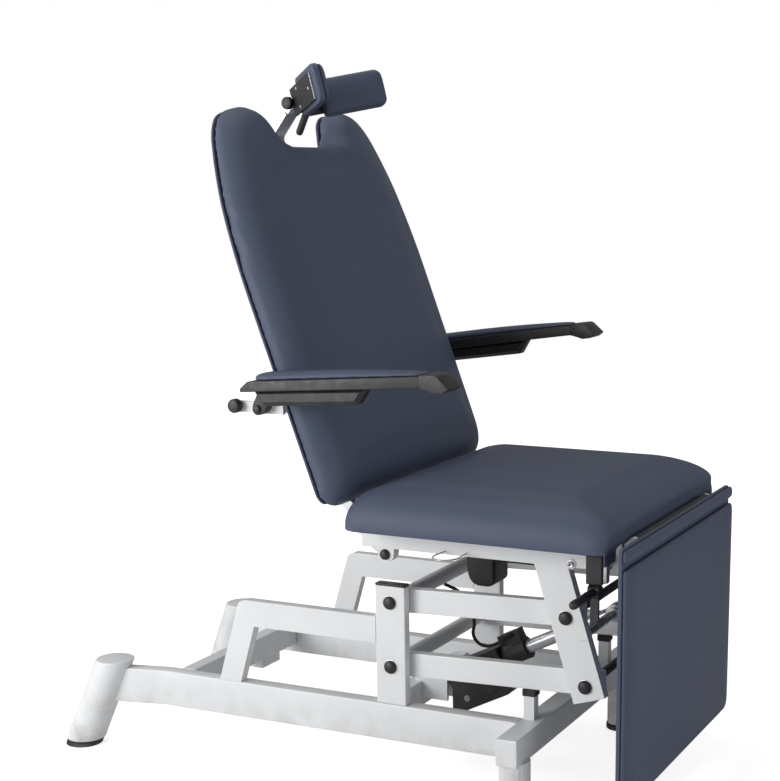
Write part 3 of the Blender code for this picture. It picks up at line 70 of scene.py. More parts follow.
# Base rails: steel bar bent outwards at the rear and welded to a leaning round foot on each side.
# The weldment is powder coated white, with the slight orange peel of baked powder and some floor dust
# and scuffs low down.
SIDES = (("right", -1), ("left", 1))
MASK = (0.0, 1.0)
MIX_INPUTS = (0, 6, 7)
MIX_RESULT = 2
looks = {}


def feed(tree, socket, value):
    if isinstance(value, bpy.types.NodeSocket):
        tree.links.new(value, socket)
    else:
        socket.default_value = value


def node_with(tree, kind, attributes=None, **inputs):
    node = tree.nodes.new(kind)
    for label, value in (attributes or {}).items():
        setattr(node, label, value)
    for label, value in inputs.items():
        feed(tree, node.inputs[label.replace("_", " ")], value)
    return node


def new_group(name, inputs, outputs):
    group = bpy.data.node_groups.new(name, "ShaderNodeTree")
    for label, kind in inputs:
        group.interface.new_socket(label, in_out="INPUT", socket_type="NodeSocket" + kind)
    for label, kind in outputs:
        group.interface.new_socket(label, in_out="OUTPUT", socket_type="NodeSocket" + kind)
    return group, group.nodes.new("NodeGroupInput").outputs, group.nodes.new("NodeGroupOutput").inputs


def mixed(tree, mask, first, second):
    node = node_with(tree, "ShaderNodeMix", {"data_type": "RGBA"})
    for number, value in zip(MIX_INPUTS, (mask, first, second)):
        feed(tree, node.inputs[number], value)
    return node.outputs[MIX_RESULT]


def worked(tree, operation, first, second):
    node = node_with(tree, "ShaderNodeMath", {"operation": operation})
    for socket, value in zip(node.inputs, (first, second)):
        feed(tree, socket, value)
    return node.outputs[0]


def remapped(tree, value, band, to_band):
    return node_with(
        tree, "ShaderNodeMapRange", Value=value, From_Min=band[0], From_Max=band[1], To_Min=to_band[0],
        To_Max=to_band[1]).outputs[0]


def noise(tree, place, scale, detail):
    return node_with(tree, "ShaderNodeTexNoise", Vector=place, Scale=scale, Detail=detail).outputs[0]


GRAIN_OUT = (("Colour", "Color"), ("Roughness", "Float"), ("Height", "Float"))
CLOUD_DETAIL = 3.0
GRAIN_DETAIL = 2.0
PATCH_BAND = (0.40, 0.70)
SHEEN_FINER = 3.7
SHEEN_BAND = (0.3, 0.7)
fine_grain, given, made = new_group("fine_grain", (
    ("Place", "Vector"), ("Clean", "Color"), ("Worn", "Color"), ("Cloud Scale", "Float"),
    ("Grain Scale", "Float"), ("Smooth", "Float"), ("Rough", "Float")), GRAIN_OUT)
cloud = noise(fine_grain, given["Place"], given["Cloud Scale"], CLOUD_DETAIL)
patches = remapped(fine_grain, cloud, PATCH_BAND, MASK)
sheen_scale = worked(fine_grain, "MULTIPLY", given["Cloud Scale"], SHEEN_FINER)
handled = noise(fine_grain, given["Place"], sheen_scale, GRAIN_DETAIL)
sheen = remapped(fine_grain, handled, SHEEN_BAND, (given["Smooth"], given["Rough"]))
feed(fine_grain, made["Colour"], mixed(fine_grain, patches, given["Clean"], given["Worn"]))
feed(fine_grain, made["Roughness"], sheen)
feed(fine_grain, made["Height"], noise(fine_grain, given["Place"], given["Grain Scale"], GRAIN_DETAIL))

SOIL_MOST = 0.8
DUST_SCALE = 26.0
DUST_DETAIL = 4.0
DUST_BAND = (0.42, 0.75)
floor_soil, given, made = new_group("floor_soil", (
    ("Place", "Vector"), ("Colour", "Color"), ("Soil", "Color"), ("Reach", "Float")), GRAIN_OUT[:1])
height = node_with(floor_soil, "ShaderNodeSeparateXYZ", Vector=given["Place"]).outputs["Z"]
low_down = remapped(floor_soil, height, (0.0, given["Reach"]), (SOIL_MOST, 0.0))
dust = remapped(floor_soil, noise(floor_soil, given["Place"], DUST_SCALE, DUST_DETAIL), DUST_BAND, MASK)
soiled = worked(floor_soil, "MULTIPLY", low_down, dust)
feed(floor_soil, made["Colour"], mixed(floor_soil, soiled, given["Colour"], given["Soil"]))

STREAK_STRETCH = (9.0, 60.0, 240.0)
STREAK_BAND = (0.66, 0.74)
SPOT_SCALE = 14.0
SPOT_BAND = (0.55, 0.68)
scuffs, given, made = new_group("scuffs", (
    ("Place", "Vector"), ("Colour", "Color"), ("Rubbed", "Color"), ("Amount", "Float")), GRAIN_OUT[:1])
drawn_out = node_with(scuffs, "ShaderNodeMapping", Vector=given["Place"], Scale=STREAK_STRETCH).outputs[0]
streaks = remapped(scuffs, noise(scuffs, drawn_out, 1.0, GRAIN_DETAIL), STREAK_BAND, MASK)
spots = remapped(scuffs, noise(scuffs, given["Place"], SPOT_SCALE, GRAIN_DETAIL), SPOT_BAND, MASK)
rubbed = worked(scuffs, "MULTIPLY", worked(scuffs, "MULTIPLY", streaks, spots), given["Amount"])
feed(scuffs, made["Colour"], mixed(scuffs, rubbed, given["Colour"], given["Rubbed"]))


def group_look(slot, group, bump, layers=(), **values):
    look = bpy.data.materials.new(slot)
    look.use_nodes = True
    tree = look.node_tree
    shader = tree.nodes["Principled BSDF"].inputs
    place = tree.nodes.new("ShaderNodeTexCoord").outputs["Object"]
    grain = node_with(tree, "ShaderNodeGroup", {"node_tree": group}, Place=place, **values).outputs
    dents = node_with(tree, "ShaderNodeBump", Strength=bump[0], Distance=bump[1], Height=grain["Height"])
    colour = grain["Colour"]
    for layer, settings in layers:
        colour = node_with(
            tree, "ShaderNodeGroup", {"node_tree": layer}, Place=place, Colour=colour, **settings).outputs[0]
    feed(tree, shader["Base Color"], colour)
    feed(tree, shader["Roughness"], grain["Roughness"])
    feed(tree, shader["Normal"], dents.outputs["Normal"])
    looks[slot] = look
    return shader


RUBBED = (0.42, 0.42, 0.42, 1.0)
FLOOR_DUST = (0.36, 0.34, 0.31, 1.0)


def grained_look(slot, clean, worn, cloud_scale, grain_scale, gloss, bump, rub=0.0, soil_reach=0.0):
    layers = []
    if rub:
        layers.append((scuffs, {"Rubbed": RUBBED, "Amount": rub}))
    if soil_reach:
        layers.append((floor_soil, {"Soil": FLOOR_DUST, "Reach": soil_reach}))
    group_look(
        slot, fine_grain, bump, layers, Clean=clean, Worn=worn, Cloud_Scale=cloud_scale,
        Grain_Scale=grain_scale, Smooth=gloss[0], Rough=gloss[1])


COAT_CLEAN = (0.80, 0.81, 0.82, 1.0)
COAT_WORN = (0.75, 0.76, 0.77, 1.0)
grained_look(
    "powder_coat", COAT_CLEAN, COAT_WORN, cloud_scale=5.0, grain_scale=420.0, gloss=(0.30, 0.40),
    bump=(0.10, 0.0004), rub=0.35, soil_reach=0.16)
CORNER_STEPS = 8
RIM_STEPS = 3
DRUM_STEPS = 48
DRUM_RIM_STEPS = 4
PLAN_MERGE = 0.0002


def bevelled(shape, geom, offset, segments, affect="EDGES"):
    bmesh.ops.bevel(
        shape, geom=geom, offset=offset, offset_type="OFFSET", segments=segments, profile=0.5, affect=affect,
        material=-1)


def level_edges(shape, height):
    return [edge for edge in shape.edges if abs(edge.verts[0].co.z - edge.verts[1].co.z) < height / 2]


def rounded_plan(corners):
    shape = bmesh.new()
    spots = [shape.verts.new((corner[0], corner[1], 0.0)) for corner in corners]
    shape.faces.new(spots)
    for spot, corner in zip(spots, corners):
        if corner[2]:
            bevelled(shape, [spot], corner[2], CORNER_STEPS, "VERTICES")
    return shape


def raised(shape, height):
    grown = bmesh.ops.extrude_face_region(shape, geom=shape.faces[:])
    lifted = [item for item in grown["geom"] if isinstance(item, bmesh.types.BMVert)]
    bmesh.ops.translate(shape, verts=lifted, vec=(0.0, 0.0, height))
    open_rims = [edge for edge in shape.edges if edge.is_boundary]
    if open_rims:
        bmesh.ops.holes_fill(shape, edges=open_rims, sides=0)
    bmesh.ops.recalc_face_normals(shape, faces=shape.faces)
    return shape


def slab(corners, thick, edge, place, segments=RIM_STEPS):
    plan = rounded_plan(corners)
    bmesh.ops.remove_doubles(plan, verts=plan.verts, dist=PLAN_MERGE)
    shape = raised(plan, thick)
    bevelled(shape, level_edges(shape, thick), edge, segments)
    shape.transform(place)
    return shape


def drum(radius, start, end, edge=0.0):
    shape = bmesh.new()
    run = Vector(end) - Vector(start)
    bmesh.ops.create_cone(
        shape, cap_ends=True, segments=DRUM_STEPS, radius1=radius, radius2=radius, depth=run.length)
    if edge:
        bevelled(shape, level_edges(shape, run.length), edge, DRUM_RIM_STEPS)
    turn = run.to_track_quat("Z", "Y").to_matrix().to_4x4()
    shape.transform(Matrix.Translation((Vector(start) + Vector(end)) / 2) @ turn)
    return shape


def poured(shape, whole):
    held = bpy.data.meshes.new("held")
    shape.to_mesh(held)
    shape.free()
    whole.from_mesh(held)
    bpy.data.meshes.remove(held)


def joined(*shapes):
    whole = bmesh.new()
    for shape in shapes:
        poured(shape, whole)
    return whole


FRAME_SHIFT = 0.0238755
DATUM = Matrix.Translation((FRAME_SHIFT, 0.0, 0.0))
CRISP = 32.0


def placed(name, shape):
    mesh = bpy.data.meshes.new(name)
    shape.to_mesh(mesh)
    shape.free()
    piece = bpy.data.objects.new(name, mesh)
    bpy.context.scene.collection.objects.link(piece)
    return piece


def keep_piece(name, shape, slot, body, crisp=CRISP):
    shape.transform(DATUM)
    bmesh.ops.recalc_face_normals(shape, faces=shape.faces)
    piece = placed(name, shape)
    piece.data.materials.append(looks[slot])
    piece.data.shade_smooth()
    piece.data.set_sharp_from_angle(angle=math.radians(crisp))
    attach(piece, body)
    return piece


RAIL_LOW = 0.095
RAIL_TOP = 0.165
RAIL_OUT = 0.220
RAIL_IN = 0.190
RAIL_FRONT = 0.3417
RAIL_BEND = -0.411
RAIL_END = -0.530
RAIL_EDGE = 0.003
BEND_ROUND = 0.012
SPLAY = math.radians(12.0)
FOOT_R = 0.038
FOOT_LOW = 0.0123
FOOT_TOP = Vector((-0.519, 0.229, 0.180))
FOOT_LEAN = math.tan(math.radians(23.0))
FOOT_EDGE = 0.0025
flare = (RAIL_BEND - RAIL_END) * math.tan(SPLAY)


def leaning_foot(side, radius, low, high, edge):
    shape = drum(radius, (0, 0, low - FOOT_TOP.z), (0, 0, high - FOOT_TOP.z), edge)
    slope = Matrix.Identity(4)
    slope[0][2] = FOOT_LEAN * math.cos(SPLAY)
    slope[1][2] = -side * FOOT_LEAN * math.sin(SPLAY)
    shape.transform(Matrix.Translation((FOOT_TOP.x, side * FOOT_TOP.y, FOOT_TOP.z)) @ slope)
    return shape


for side_name, side in SIDES:
    plan = [
        (RAIL_FRONT, side * RAIL_OUT, 0.0), (RAIL_BEND, side * RAIL_OUT, BEND_ROUND),
        (RAIL_END, side * (RAIL_OUT + flare), 0.0), (RAIL_END, side * (RAIL_IN + flare), 0.0),
        (RAIL_BEND, side * RAIL_IN, BEND_ROUND), (RAIL_FRONT, side * RAIL_IN, 0.0)]
    bar = slab(plan, RAIL_TOP - RAIL_LOW, RAIL_EDGE, Matrix.Translation((0.0, 0.0, RAIL_LOW)))
    foot = leaning_foot(side, FOOT_R, FOOT_LOW, FOOT_TOP.z, FOOT_EDGE)
    rail = keep_piece("side_rail_" + side_name, joined(bar, foot), "powder_coat", "base")
    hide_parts("rail_" + side_name)


# Cross bars, braces and lift posts: flat bar and tube, cut square and welded to the rails.
# They share the rails' powder coat.
def coated(slot, *names):
    for name in names:
        for spot in nodes[name].material_slots:
            spot.material = looks[slot]


coated(
    "powder_coat", "rear_cross_bar", "middle_cross_bar", "front_cross_bar", "brace_right", "brace_left",
    "post_right", "post_left")

# Foot pads and stop bumpers: moulded black rubber, pressed into the foot tubes and onto the stop posts.
# The rubber is matt and grey with floor dust at its lower edge.
RUBBER_CLEAN = (0.016, 0.016, 0.017, 1.0)
RUBBER_WORN = (0.030, 0.030, 0.030, 1.0)
grained_look(
    "rubber", RUBBER_CLEAN, RUBBER_WORN, cloud_scale=40.0, grain_scale=1500.0, gloss=(0.66, 0.84),
    bump=(0.25, 0.0002), soil_reach=0.010)
coated("rubber", "stop_bumper_right", "stop_bumper_left")
PAD_R = 0.036
PAD_H = 0.012
PAD_EDGE = 0.002
FRONT_FOOT_X = 0.362
FRONT_FOOT_Y = 0.272
FRONT_FOOT_R = 0.030
for side_name, side in SIDES:
    rear_disc = leaning_foot(side, PAD_R, 0.0, PAD_H, PAD_EDGE)
    rear_pad = keep_piece("rear_pad_" + side_name, rear_disc, "rubber", "base")
    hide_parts("rear_foot_pad_" + side_name)
    spot = Vector((FRONT_FOOT_X, side * FRONT_FOOT_Y, 0.0))
    front_disc = drum(FRONT_FOOT_R, spot, spot + Vector((0.0, 0.0, PAD_H)), PAD_EDGE)
    front_pad = keep_piece("front_pad_" + side_name, front_disc, "rubber", "base")
    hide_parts("front_foot_pad_" + side_name)

# Post caps: thin black mouldings that close the open tops of the two lift posts.
# They push in and stand proud by their rim.
PLASTIC_CLEAN = (0.017, 0.017, 0.019, 1.0)
PLASTIC_WORN = (0.027, 0.027, 0.029, 1.0)
grained_look(
    "black_plastic", PLASTIC_CLEAN, PLASTIC_WORN, cloud_scale=22.0, grain_scale=1700.0, gloss=(0.40, 0.54),
    bump=(0.22, 0.00012), rub=0.10)
POST_X = 0.092
POST_HALF_W = 0.0305
POST_TOP = 0.3882
POST_MID = 0.210
POST_HALF_T = 0.0103
CAP_T = 0.0042
CAP_ROUND = 0.003
CAP_EDGE = 0.0012
for side_name, side in SIDES:
    plan = [
        (POST_X + across * POST_HALF_W, side * POST_MID + away * POST_HALF_T, CAP_ROUND)
        for across, away in ((1, -1), (1, 1), (-1, 1), (-1, -1))]
    cap = slab(plan, CAP_T, CAP_EDGE, Matrix.Translation((0.0, 0.0, POST_TOP)))
    keep_piece("post_cap_" + side_name, cap, "black_plastic", "base")

# Lift arms and torsion tubes: flat steel arms on each side, tied across their rear ends by round tubes,
# so that both sides of the seat rise together. Powder coated like the base.
coated("powder_coat", "upper_arm_right", "upper_arm_left", "lower_arm_right", "lower_arm_left")
UPPER_REAR = (0.092, 0.3575)
LOWER_REAR = (0.092, 0.2365)
TUBE_R = 0.015
TUBE_REACH = 0.1767
TUBE_EDGE = 0.001
for label, (x, z) in (("upper", UPPER_REAR), ("lower", LOWER_REAR)):
    round_tube = drum(TUBE_R, (x, -TUBE_REACH, z), (x, TUBE_REACH, z), TUBE_EDGE)
    tube = keep_piece(label + "_cross_tube", round_tube, "powder_coat", label + "_arms")
    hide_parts(label + "_torsion_tube")

# Pivot shafts: steel pins through the posts, arms and seat legs, held by domed black push-on caps
# over a thin plated washer at each end.
STEEL_BRIGHT = (0.66, 0.67, 0.69, 1.0)
STEEL_DULL = (0.50, 0.51, 0.53, 1.0)
STEEL_METALLIC = 0.6
DRAWN_STRETCH = (90.0, 1500.0, 90.0)
HAZE_SCALE = 30.0
STEEL_GLOSS = (0.20, 0.36)
drawn_steel, given, made = new_group(
    "drawn_steel", (("Place", "Vector"), ("Bright", "Color"), ("Dull", "Color")), GRAIN_OUT)
drawn_out = node_with(
    drawn_steel, "ShaderNodeMapping", Vector=given["Place"], Scale=DRAWN_STRETCH).outputs[0]
haze = noise(drawn_steel, given["Place"], HAZE_SCALE, CLOUD_DETAIL)
feed(drawn_steel, made["Colour"], mixed(drawn_steel, haze, given["Bright"], given["Dull"]))
feed(drawn_steel, made["Roughness"], remapped(drawn_steel, haze, SHEEN_BAND, STEEL_GLOSS))
feed(drawn_steel, made["Height"], noise(drawn_steel, drawn_out, 1.0, CLOUD_DETAIL))
plate = group_look(
    "plated_steel", drawn_steel, bump=(0.05, 0.0001), Bright=STEEL_BRIGHT, Dull=STEEL_DULL)
plate["Metallic"].default_value = STEEL_METALLIC
SPIN_STEPS = 40
MERGE_NEAR = 0.00001


def turned(profile, place):
    shape = bmesh.new()
    spots = [shape.verts.new((radius, 0.0, height)) for radius, height in profile]
    edges = [shape.edges.new(pair) for pair in zip(spots, spots[1:])]
    bmesh.ops.spin(
        shape, geom=spots + edges, cent=(0, 0, 0), axis=(0, 0, 1), angle=math.radians(360.0),
        steps=SPIN_STEPS, use_merge=True)
    bmesh.ops.remove_doubles(shape, verts=shape.verts, dist=MERGE_NEAR)
    bmesh.ops.recalc_face_normals(shape, faces=shape.faces)
    shape.transform(place)
    return shape


def side_turned(profile, side, spot, frame=Matrix.Identity(4)):
    outward = Matrix.Rotation(math.radians(-90.0 * side), 4, "X")
    return turned(profile, frame @ Matrix.Translation(spot) @ outward)


UPPER_FRONT = (0.435, 0.368)
LOWER_FRONT = (0.472, 0.248)
SHAFT_R = 0.008
DOME_R = 0.0125
DOME_H = 0.008
DOME_RIM = 0.0015
DOME_STEPS = 8
DOME_FROM = 0.2203
WASHER_IN = DOME_R - 0.002
WASHER_OUT = DOME_R + 0.0005
WASHER_SUNK = 0.0002
shaft_dome = [(0.0, 0.0), (DOME_R, 0.0), (DOME_R, DOME_RIM)]
for step in range(1, DOME_STEPS):
    angle = math.radians(90.0 * step / DOME_STEPS)
    shaft_dome.append((DOME_R * math.cos(angle), DOME_RIM + (DOME_H - DOME_RIM) * math.sin(angle)))
shaft_dome.append((0.0, DOME_H))
washer = [(WASHER_IN, 0.0), (WASHER_OUT, 0.0), (WASHER_OUT, 0.0004), (WASHER_IN, 0.0012), (WASHER_IN, 0.0)]
for label, (x, z), body in (
        ("upper_rear", UPPER_REAR, "base"), ("lower_rear", LOWER_REAR, "base"),
        ("upper_front", UPPER_FRONT, "seat_frame"), ("lower_front", LOWER_FRONT, "seat_frame")):
    ends = [drum(SHAFT_R, (x, -DOME_FROM, z), (x, DOME_FROM, z))]
    rings = []
    for side_name, side in SIDES:
        ends.append(side_turned(shaft_dome, side, (x, side * DOME_FROM, z)))
        rings.append(side_turned(washer, side, (x, side * (DOME_FROM - WASHER_SUNK), z)))
    pin = keep_piece("pivot_" + label, joined(*ends), "black_plastic", body)
    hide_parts(label + "_shaft")
    keep_piece("washers_" + label, joined(*rings), "plated_steel", body)

# Lift actuator: moulded motor housing on a clevis of the base, with a plated rod to the seat's cross shaft.
# The housing is two black mouldings screwed together, with a round cover over the gear.
coated("black_plastic", "lift_motor")
LIFT_REAR = Vector((0.093, 0.0, 0.147))
LIFT_FRONT = Vector((0.448, 0.0, 0.325))
MOTOR_HALF = 0.034
ROD_R = 0.013
ROD_FROM = 0.2003
ROD_SHORT = 0.004
EYE_R = 0.017
EYE_HALF = 0.013
EYE_EDGE = 0.0012
SHAFT_REACH = 0.1997
SHAFT_MID_R = 0.0085
SHAFT_EDGE = 0.0008
COLLAR_R = 0.0125
COLLAR_W = 0.007
COLLAR_GAP = 0.0004
COLLAR_EDGE = 0.001
COVER_AT = (0.112, -MOTOR_HALF, -0.030)
BUTTON_AT = (0.050, -MOTOR_HALF, -0.046)
lift_run = LIFT_FRONT - LIFT_REAR
lift_frame = Matrix.Translation(LIFT_REAR) @ Matrix.Rotation(-math.atan2(lift_run.z, lift_run.x), 4, "Y")
rod_end = lift_run.length
eye = drum(EYE_R, (rod_end, -EYE_HALF, 0.0), (rod_end, EYE_HALF, 0.0), EYE_EDGE)
bar = drum(ROD_R, (ROD_FROM, 0.0, 0.0), (rod_end - ROD_SHORT, 0.0, 0.0))
rod_shape = joined(bar, eye)
rod_shape.transform(lift_frame)
lift_bar = keep_piece("lift_bar", rod_shape, "plated_steel", "lift_rod")
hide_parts("lift_rod")


def across_lift(radius, start, end, edge):
    return drum(radius, (LIFT_FRONT.x, start, LIFT_FRONT.z), (LIFT_FRONT.x, end, LIFT_FRONT.z), edge)


cross = [across_lift(SHAFT_MID_R, -SHAFT_REACH, SHAFT_REACH, SHAFT_EDGE)]
for side_name, side in SIDES:
    start = side * (EYE_HALF + COLLAR_GAP)
    cross.append(across_lift(COLLAR_R, start, start + side * COLLAR_W, COLLAR_EDGE))
lift_pin = keep_piece("lift_pin", joined(*cross), "plated_steel", "seat_frame")
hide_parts("lift_cross_shaft")
cover = [(0.0, 0.0030), (0.0230, 0.0030), (0.0250, 0.0018), (0.0255, 0.0), (0.0, 0.0)]
button = [(0.0, 0.0022), (0.0055, 0.0022), (0.0065, 0.0012), (0.0065, 0.0), (0.0, 0.0)]
cover_shape = side_turned(cover, -1, COVER_AT, lift_frame)
keep_piece("motor_cover", cover_shape, "black_plastic", "lift_motor")
BUTTON_GREY = (0.30, 0.31, 0.32, 1.0)
BUTTON_WORN = (0.22, 0.23, 0.24, 1.0)
grained_look(
    "grey_plastic", BUTTON_GREY, BUTTON_WORN, cloud_scale=60.0, grain_scale=1500.0, gloss=(0.35, 0.5),
    bump=(0.15, 0.0001))
button_shape = side_turned(button, -1, BUTTON_AT, lift_frame)
keep_piece("motor_button", button_shape, "grey_plastic", "lift_motor")

# Lift lead: a round black cable with a soft jacket, from the actuator's gland in one hanging loop
# up to the upper cross tube, where it goes into the tube.
LEAD_R = 0.0032
LEAD_ROUTE = [DATUM @ Vector(point) for point in (
    (0.2440, -0.0165, 0.2608), (0.2325, -0.0230, 0.2548), (0.2140, -0.0290, 0.2418),
    (0.1965, -0.0310, 0.2372), (0.1805, -0.0315, 0.2418), (0.1700, -0.0310, 0.2560),
    (0.1715, -0.0300, 0.2800), (0.1640, -0.0290, 0.3120), (0.1400, -0.0275, 0.3360),
    (0.1080, -0.0260, 0.3483))]
RUN_STEPS = 12
RUN_ROUND = 4


def run_mesh(name, points, radius):
    curve = bpy.data.curves.new(name, "CURVE")
    curve.dimensions = "3D"
    curve.bevel_depth = radius
    curve.bevel_resolution = RUN_ROUND
    curve.resolution_u = RUN_STEPS
    curve.render_resolution_u = 0
    curve.use_fill_caps = True
    run = curve.splines.new("BEZIER")
    run.bezier_points.add(len(points) - 1)
    for spot, point in zip(run.bezier_points, points):
        spot.co = point
        spot.handle_left_type = "AUTO"
        spot.handle_right_type = "AUTO"
    holder = bpy.data.objects.new(name, curve)
    mesh = bpy.data.meshes.new_from_object(holder)
    bpy.data.objects.remove(holder)
    bpy.data.curves.remove(curve)
    return mesh


def round_run(name, points, radius):
    mesh = run_mesh(name, points, radius)
    shape = bmesh.new()
    shape.from_mesh(mesh)
    bpy.data.meshes.remove(mesh)
    bmesh.ops.remove_doubles(shape, verts=shape.verts, dist=MERGE_NEAR)
    bmesh.ops.recalc_face_normals(shape, faces=shape.faces)
    return shape


lead = placed("lift_cable", round_run("lift_cable_run", LEAD_ROUTE, LEAD_R))
lead.data.shade_smooth()
lead.data.materials.append(looks["rubber"])
lead_line = run_mesh("lift_cable_line", LEAD_ROUTE, 0.0)
bpy.data.meshes.remove(lead_line)
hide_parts("lift_lead")
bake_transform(lead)

# Seat frame: flat bar rails with a slanted leg on each side, welded and powder coated.
# A bent wire hook for a hand control is welded to the right rail and left plated.
coated("powder_coat", "seat_side_right", "seat_side_left", "seat_cross_tube")
HOOK_R = 0.0016
HOOK_CRISP = 60.0
HOOK_ROUTE = [
    (0.204, -0.2203, 0.464), (0.204, -0.269, 0.464), (0.216, -0.281, 0.464), (0.233, -0.281, 0.464),
    (0.245, -0.269, 0.464), (0.245, -0.2203, 0.464)]
hook_shape = round_run("hook_run", HOOK_ROUTE, HOOK_R)
hook = keep_piece("hook_wire", hook_shape, "plated_steel", "seat_frame", crisp=HOOK_CRISP)
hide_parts("handset_hook")
RAIL_FACE = 0.2203
LUG_BOLT = (0.0845, 0.4470)
FRONT_BOLT = (0.4446, 0.4646)
bolt_dome = [
    (0.0, 0.0075), (0.0035, 0.0072), (0.0068, 0.0060), (0.0092, 0.0036), (0.0100, 0.0010), (0.0100, 0.0),
    (0.0, 0.0)]
socket_bolt = [
    (0.0, 0.0018), (0.0024, 0.0018), (0.0024, 0.0052), (0.0042, 0.0056), (0.0052, 0.0046), (0.0054, 0.0016),
    (0.0088, 0.0013), (0.0090, 0.0), (0.0, 0.0)]
for side_name, side in SIDES:
    for label, profile, (x, z), slot in (
            ("rail_cap_", bolt_dome, LUG_BOLT, "black_plastic"),
            ("rail_bolt_", socket_bolt, FRONT_BOLT, "plated_steel")):
        bolt = side_turned(profile, side, (x, side * RAIL_FACE, z))
        keep_piece(label + side_name, bolt, slot, "seat_frame")

# Control box and back actuator under the seat: black moulded housings hung from the cross tube,
# with a plated rod to the backrest's crank.
coated("black_plastic", "control_box")
BACK_MOTOR_HALF = 0.034
BACK_MOTOR_EDGE = 0.006
BACK_MOTOR_STEPS = 4
BACK_TUBE_R = 0.018
BACK_TUBE_Z = 0.415
BACK_TUBE_FROM = 0.205
BACK_TUBE_END = 0.350
BACK_TUBE_EDGE = 0.0015
ROD_BORE_R = 0.0094
ROD_BORE_FROM = 0.140
ROD_BORE_END = 0.345
motor_side = [
    (0.1570, 0.4415, 0.002), (0.1560, 0.3840, 0.010), (0.1640, 0.3610, 0.008), (0.1770, 0.3535, 0.006),
    (0.2060, 0.3535, 0.006), (0.2150, 0.3620, 0.004), (0.2150, 0.4415, 0.002)]


def upright_at(y):
    return Matrix.Translation((0.0, y, 0.0)) @ Matrix.Rotation(math.radians(90.0), 4, "X")


def combined(base, tool, operation):
    pair = []
    for shape in (base, tool):
        bmesh.ops.recalc_face_normals(shape, faces=shape.faces)
        pair.append(placed("draft", shape))
    cutter = pair[0].modifiers.new("cutter", "BOOLEAN")
    cutter.operation = operation
    cutter.solver = "EXACT"
    cutter.object = pair[1]
    result = bmesh.new()
    result.from_mesh(pair[0].evaluated_get(bpy.context.evaluated_depsgraph_get()).data)
    for draft in pair:
        mesh = draft.data
        bpy.data.objects.remove(draft)
        bpy.data.meshes.remove(mesh)
    return result


motor = slab(
    motor_side, 2 * BACK_MOTOR_HALF, BACK_MOTOR_EDGE, upright_at(BACK_MOTOR_HALF), segments=BACK_MOTOR_STEPS)
tube = drum(
    BACK_TUBE_R, (BACK_TUBE_FROM, 0.0, BACK_TUBE_Z), (BACK_TUBE_END, 0.0, BACK_TUBE_Z), BACK_TUBE_EDGE)
bore = drum(ROD_BORE_R, (ROD_BORE_FROM, 0.0, BACK_TUBE_Z), (ROD_BORE_END, 0.0, BACK_TUBE_Z))
casting = combined(combined(motor, tube, "UNION"), bore, "DIFFERENCE")
back_drive = keep_piece("back_drive", casting, "black_plastic", "seat_frame")
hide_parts("back_motor")
coated("plated_steel", "back_rod")

# Leg rest lock: a black moulded block screwed to the right rail, with a hand lever and pawl below it.
# The lever is a steel rod in a moulded sleeve with a rounded end.
coated("black_plastic", "leg_rest_lock", "lock_lever")
GRIP_AT = (0.4915, -0.2640, 0.4237)
grip = [
    (0.0, 0.0710), (0.0028, 0.0705), (0.0052, 0.0690), (0.0068, 0.0665), (0.0076, 0.0630), (0.0078, 0.0580),
    (0.0074, 0.0050), (0.0080, 0.0035), (0.0080, 0.0), (0.0, 0.0)]
keep_piece("lever_grip", side_turned(grip, -1, GRIP_AT), "black_plastic", "lock_lever")
STRIP_ROUND = 0.001
STRIP_T = 0.0150
STRIP_EDGE = 0.0006
STRIP_Y = -0.2205


def oblong(across, along, rounds):
    low, high = across
    near, far = along
    spots = ((low, near), (high, near), (high, far), (low, far))
    return [(x, y, corner) for (x, y), corner in zip(spots, rounds)]


strip_plan = oblong((0.5090, 0.5150), (0.4400, 0.4870), 4 * (STRIP_ROUND,))
keep_piece(
    "lock_strip", slab(strip_plan, STRIP_T, STRIP_EDGE, upright_at(STRIP_Y)), "plated_steel", "seat_frame")

# Seat cushion: foam on a board, covered in slate blue grained vinyl pulled under and stapled.
# The foam is full and smooth, with rounded sides and a front edge that rolls over.
VINYL_FACE = (0.089, 0.109, 0.168, 1.0)
VINYL_RUB = (0.100, 0.120, 0.180, 1.0)
# The darker blue below is painted into the valleys of the vinyl's pebble grain as painted shade.
VINYL_VALLEY_SHADE = (0.070, 0.085, 0.136, 1.0)
VINYL_SPECULAR = 0.28
VINYL_GLOSS = (0.56, 0.42)
PEBBLE_SCALE = 950.0
PEBBLE_BAND = (0.0, 0.28)
SWAY_SCALE = 300.0
SWAY_DETAIL = 1.0
SWAY = 0.0012
RUB_SCALE = 4.0
RUB_DETAIL = 4.0
RUB_BAND = (0.35, 0.68)
vinyl_grain_and_valley_shade, given, made = new_group("vinyl_grain_and_valley_shade", (
    ("Place", "Vector"), ("Face", "Color"), ("Rub", "Color"), ("Crease", "Color"), ("Grain Scale", "Float")),
    GRAIN_OUT)
sway = node_with(
    vinyl_grain_and_valley_shade, "ShaderNodeTexNoise", Vector=given["Place"], Scale=SWAY_SCALE,
    Detail=SWAY_DETAIL).outputs[1]
sway_small = node_with(vinyl_grain_and_valley_shade, "ShaderNodeVectorMath", {"operation": "SCALE"}, Vector=sway, Scale=SWAY)
swayed = node_with(vinyl_grain_and_valley_shade, "ShaderNodeVectorMath", {"operation": "ADD"})
feed(vinyl_grain_and_valley_shade, swayed.inputs[0], given["Place"])
feed(vinyl_grain_and_valley_shade, swayed.inputs[1], sway_small.outputs[0])
pebbles = node_with(
    vinyl_grain_and_valley_shade, "ShaderNodeTexVoronoi", {"feature": "DISTANCE_TO_EDGE"}, Vector=swayed.outputs[0],
    Scale=given["Grain Scale"]).outputs["Distance"]
domes_and_valley_shade = remapped(vinyl_grain_and_valley_shade, pebbles, PEBBLE_BAND, MASK)
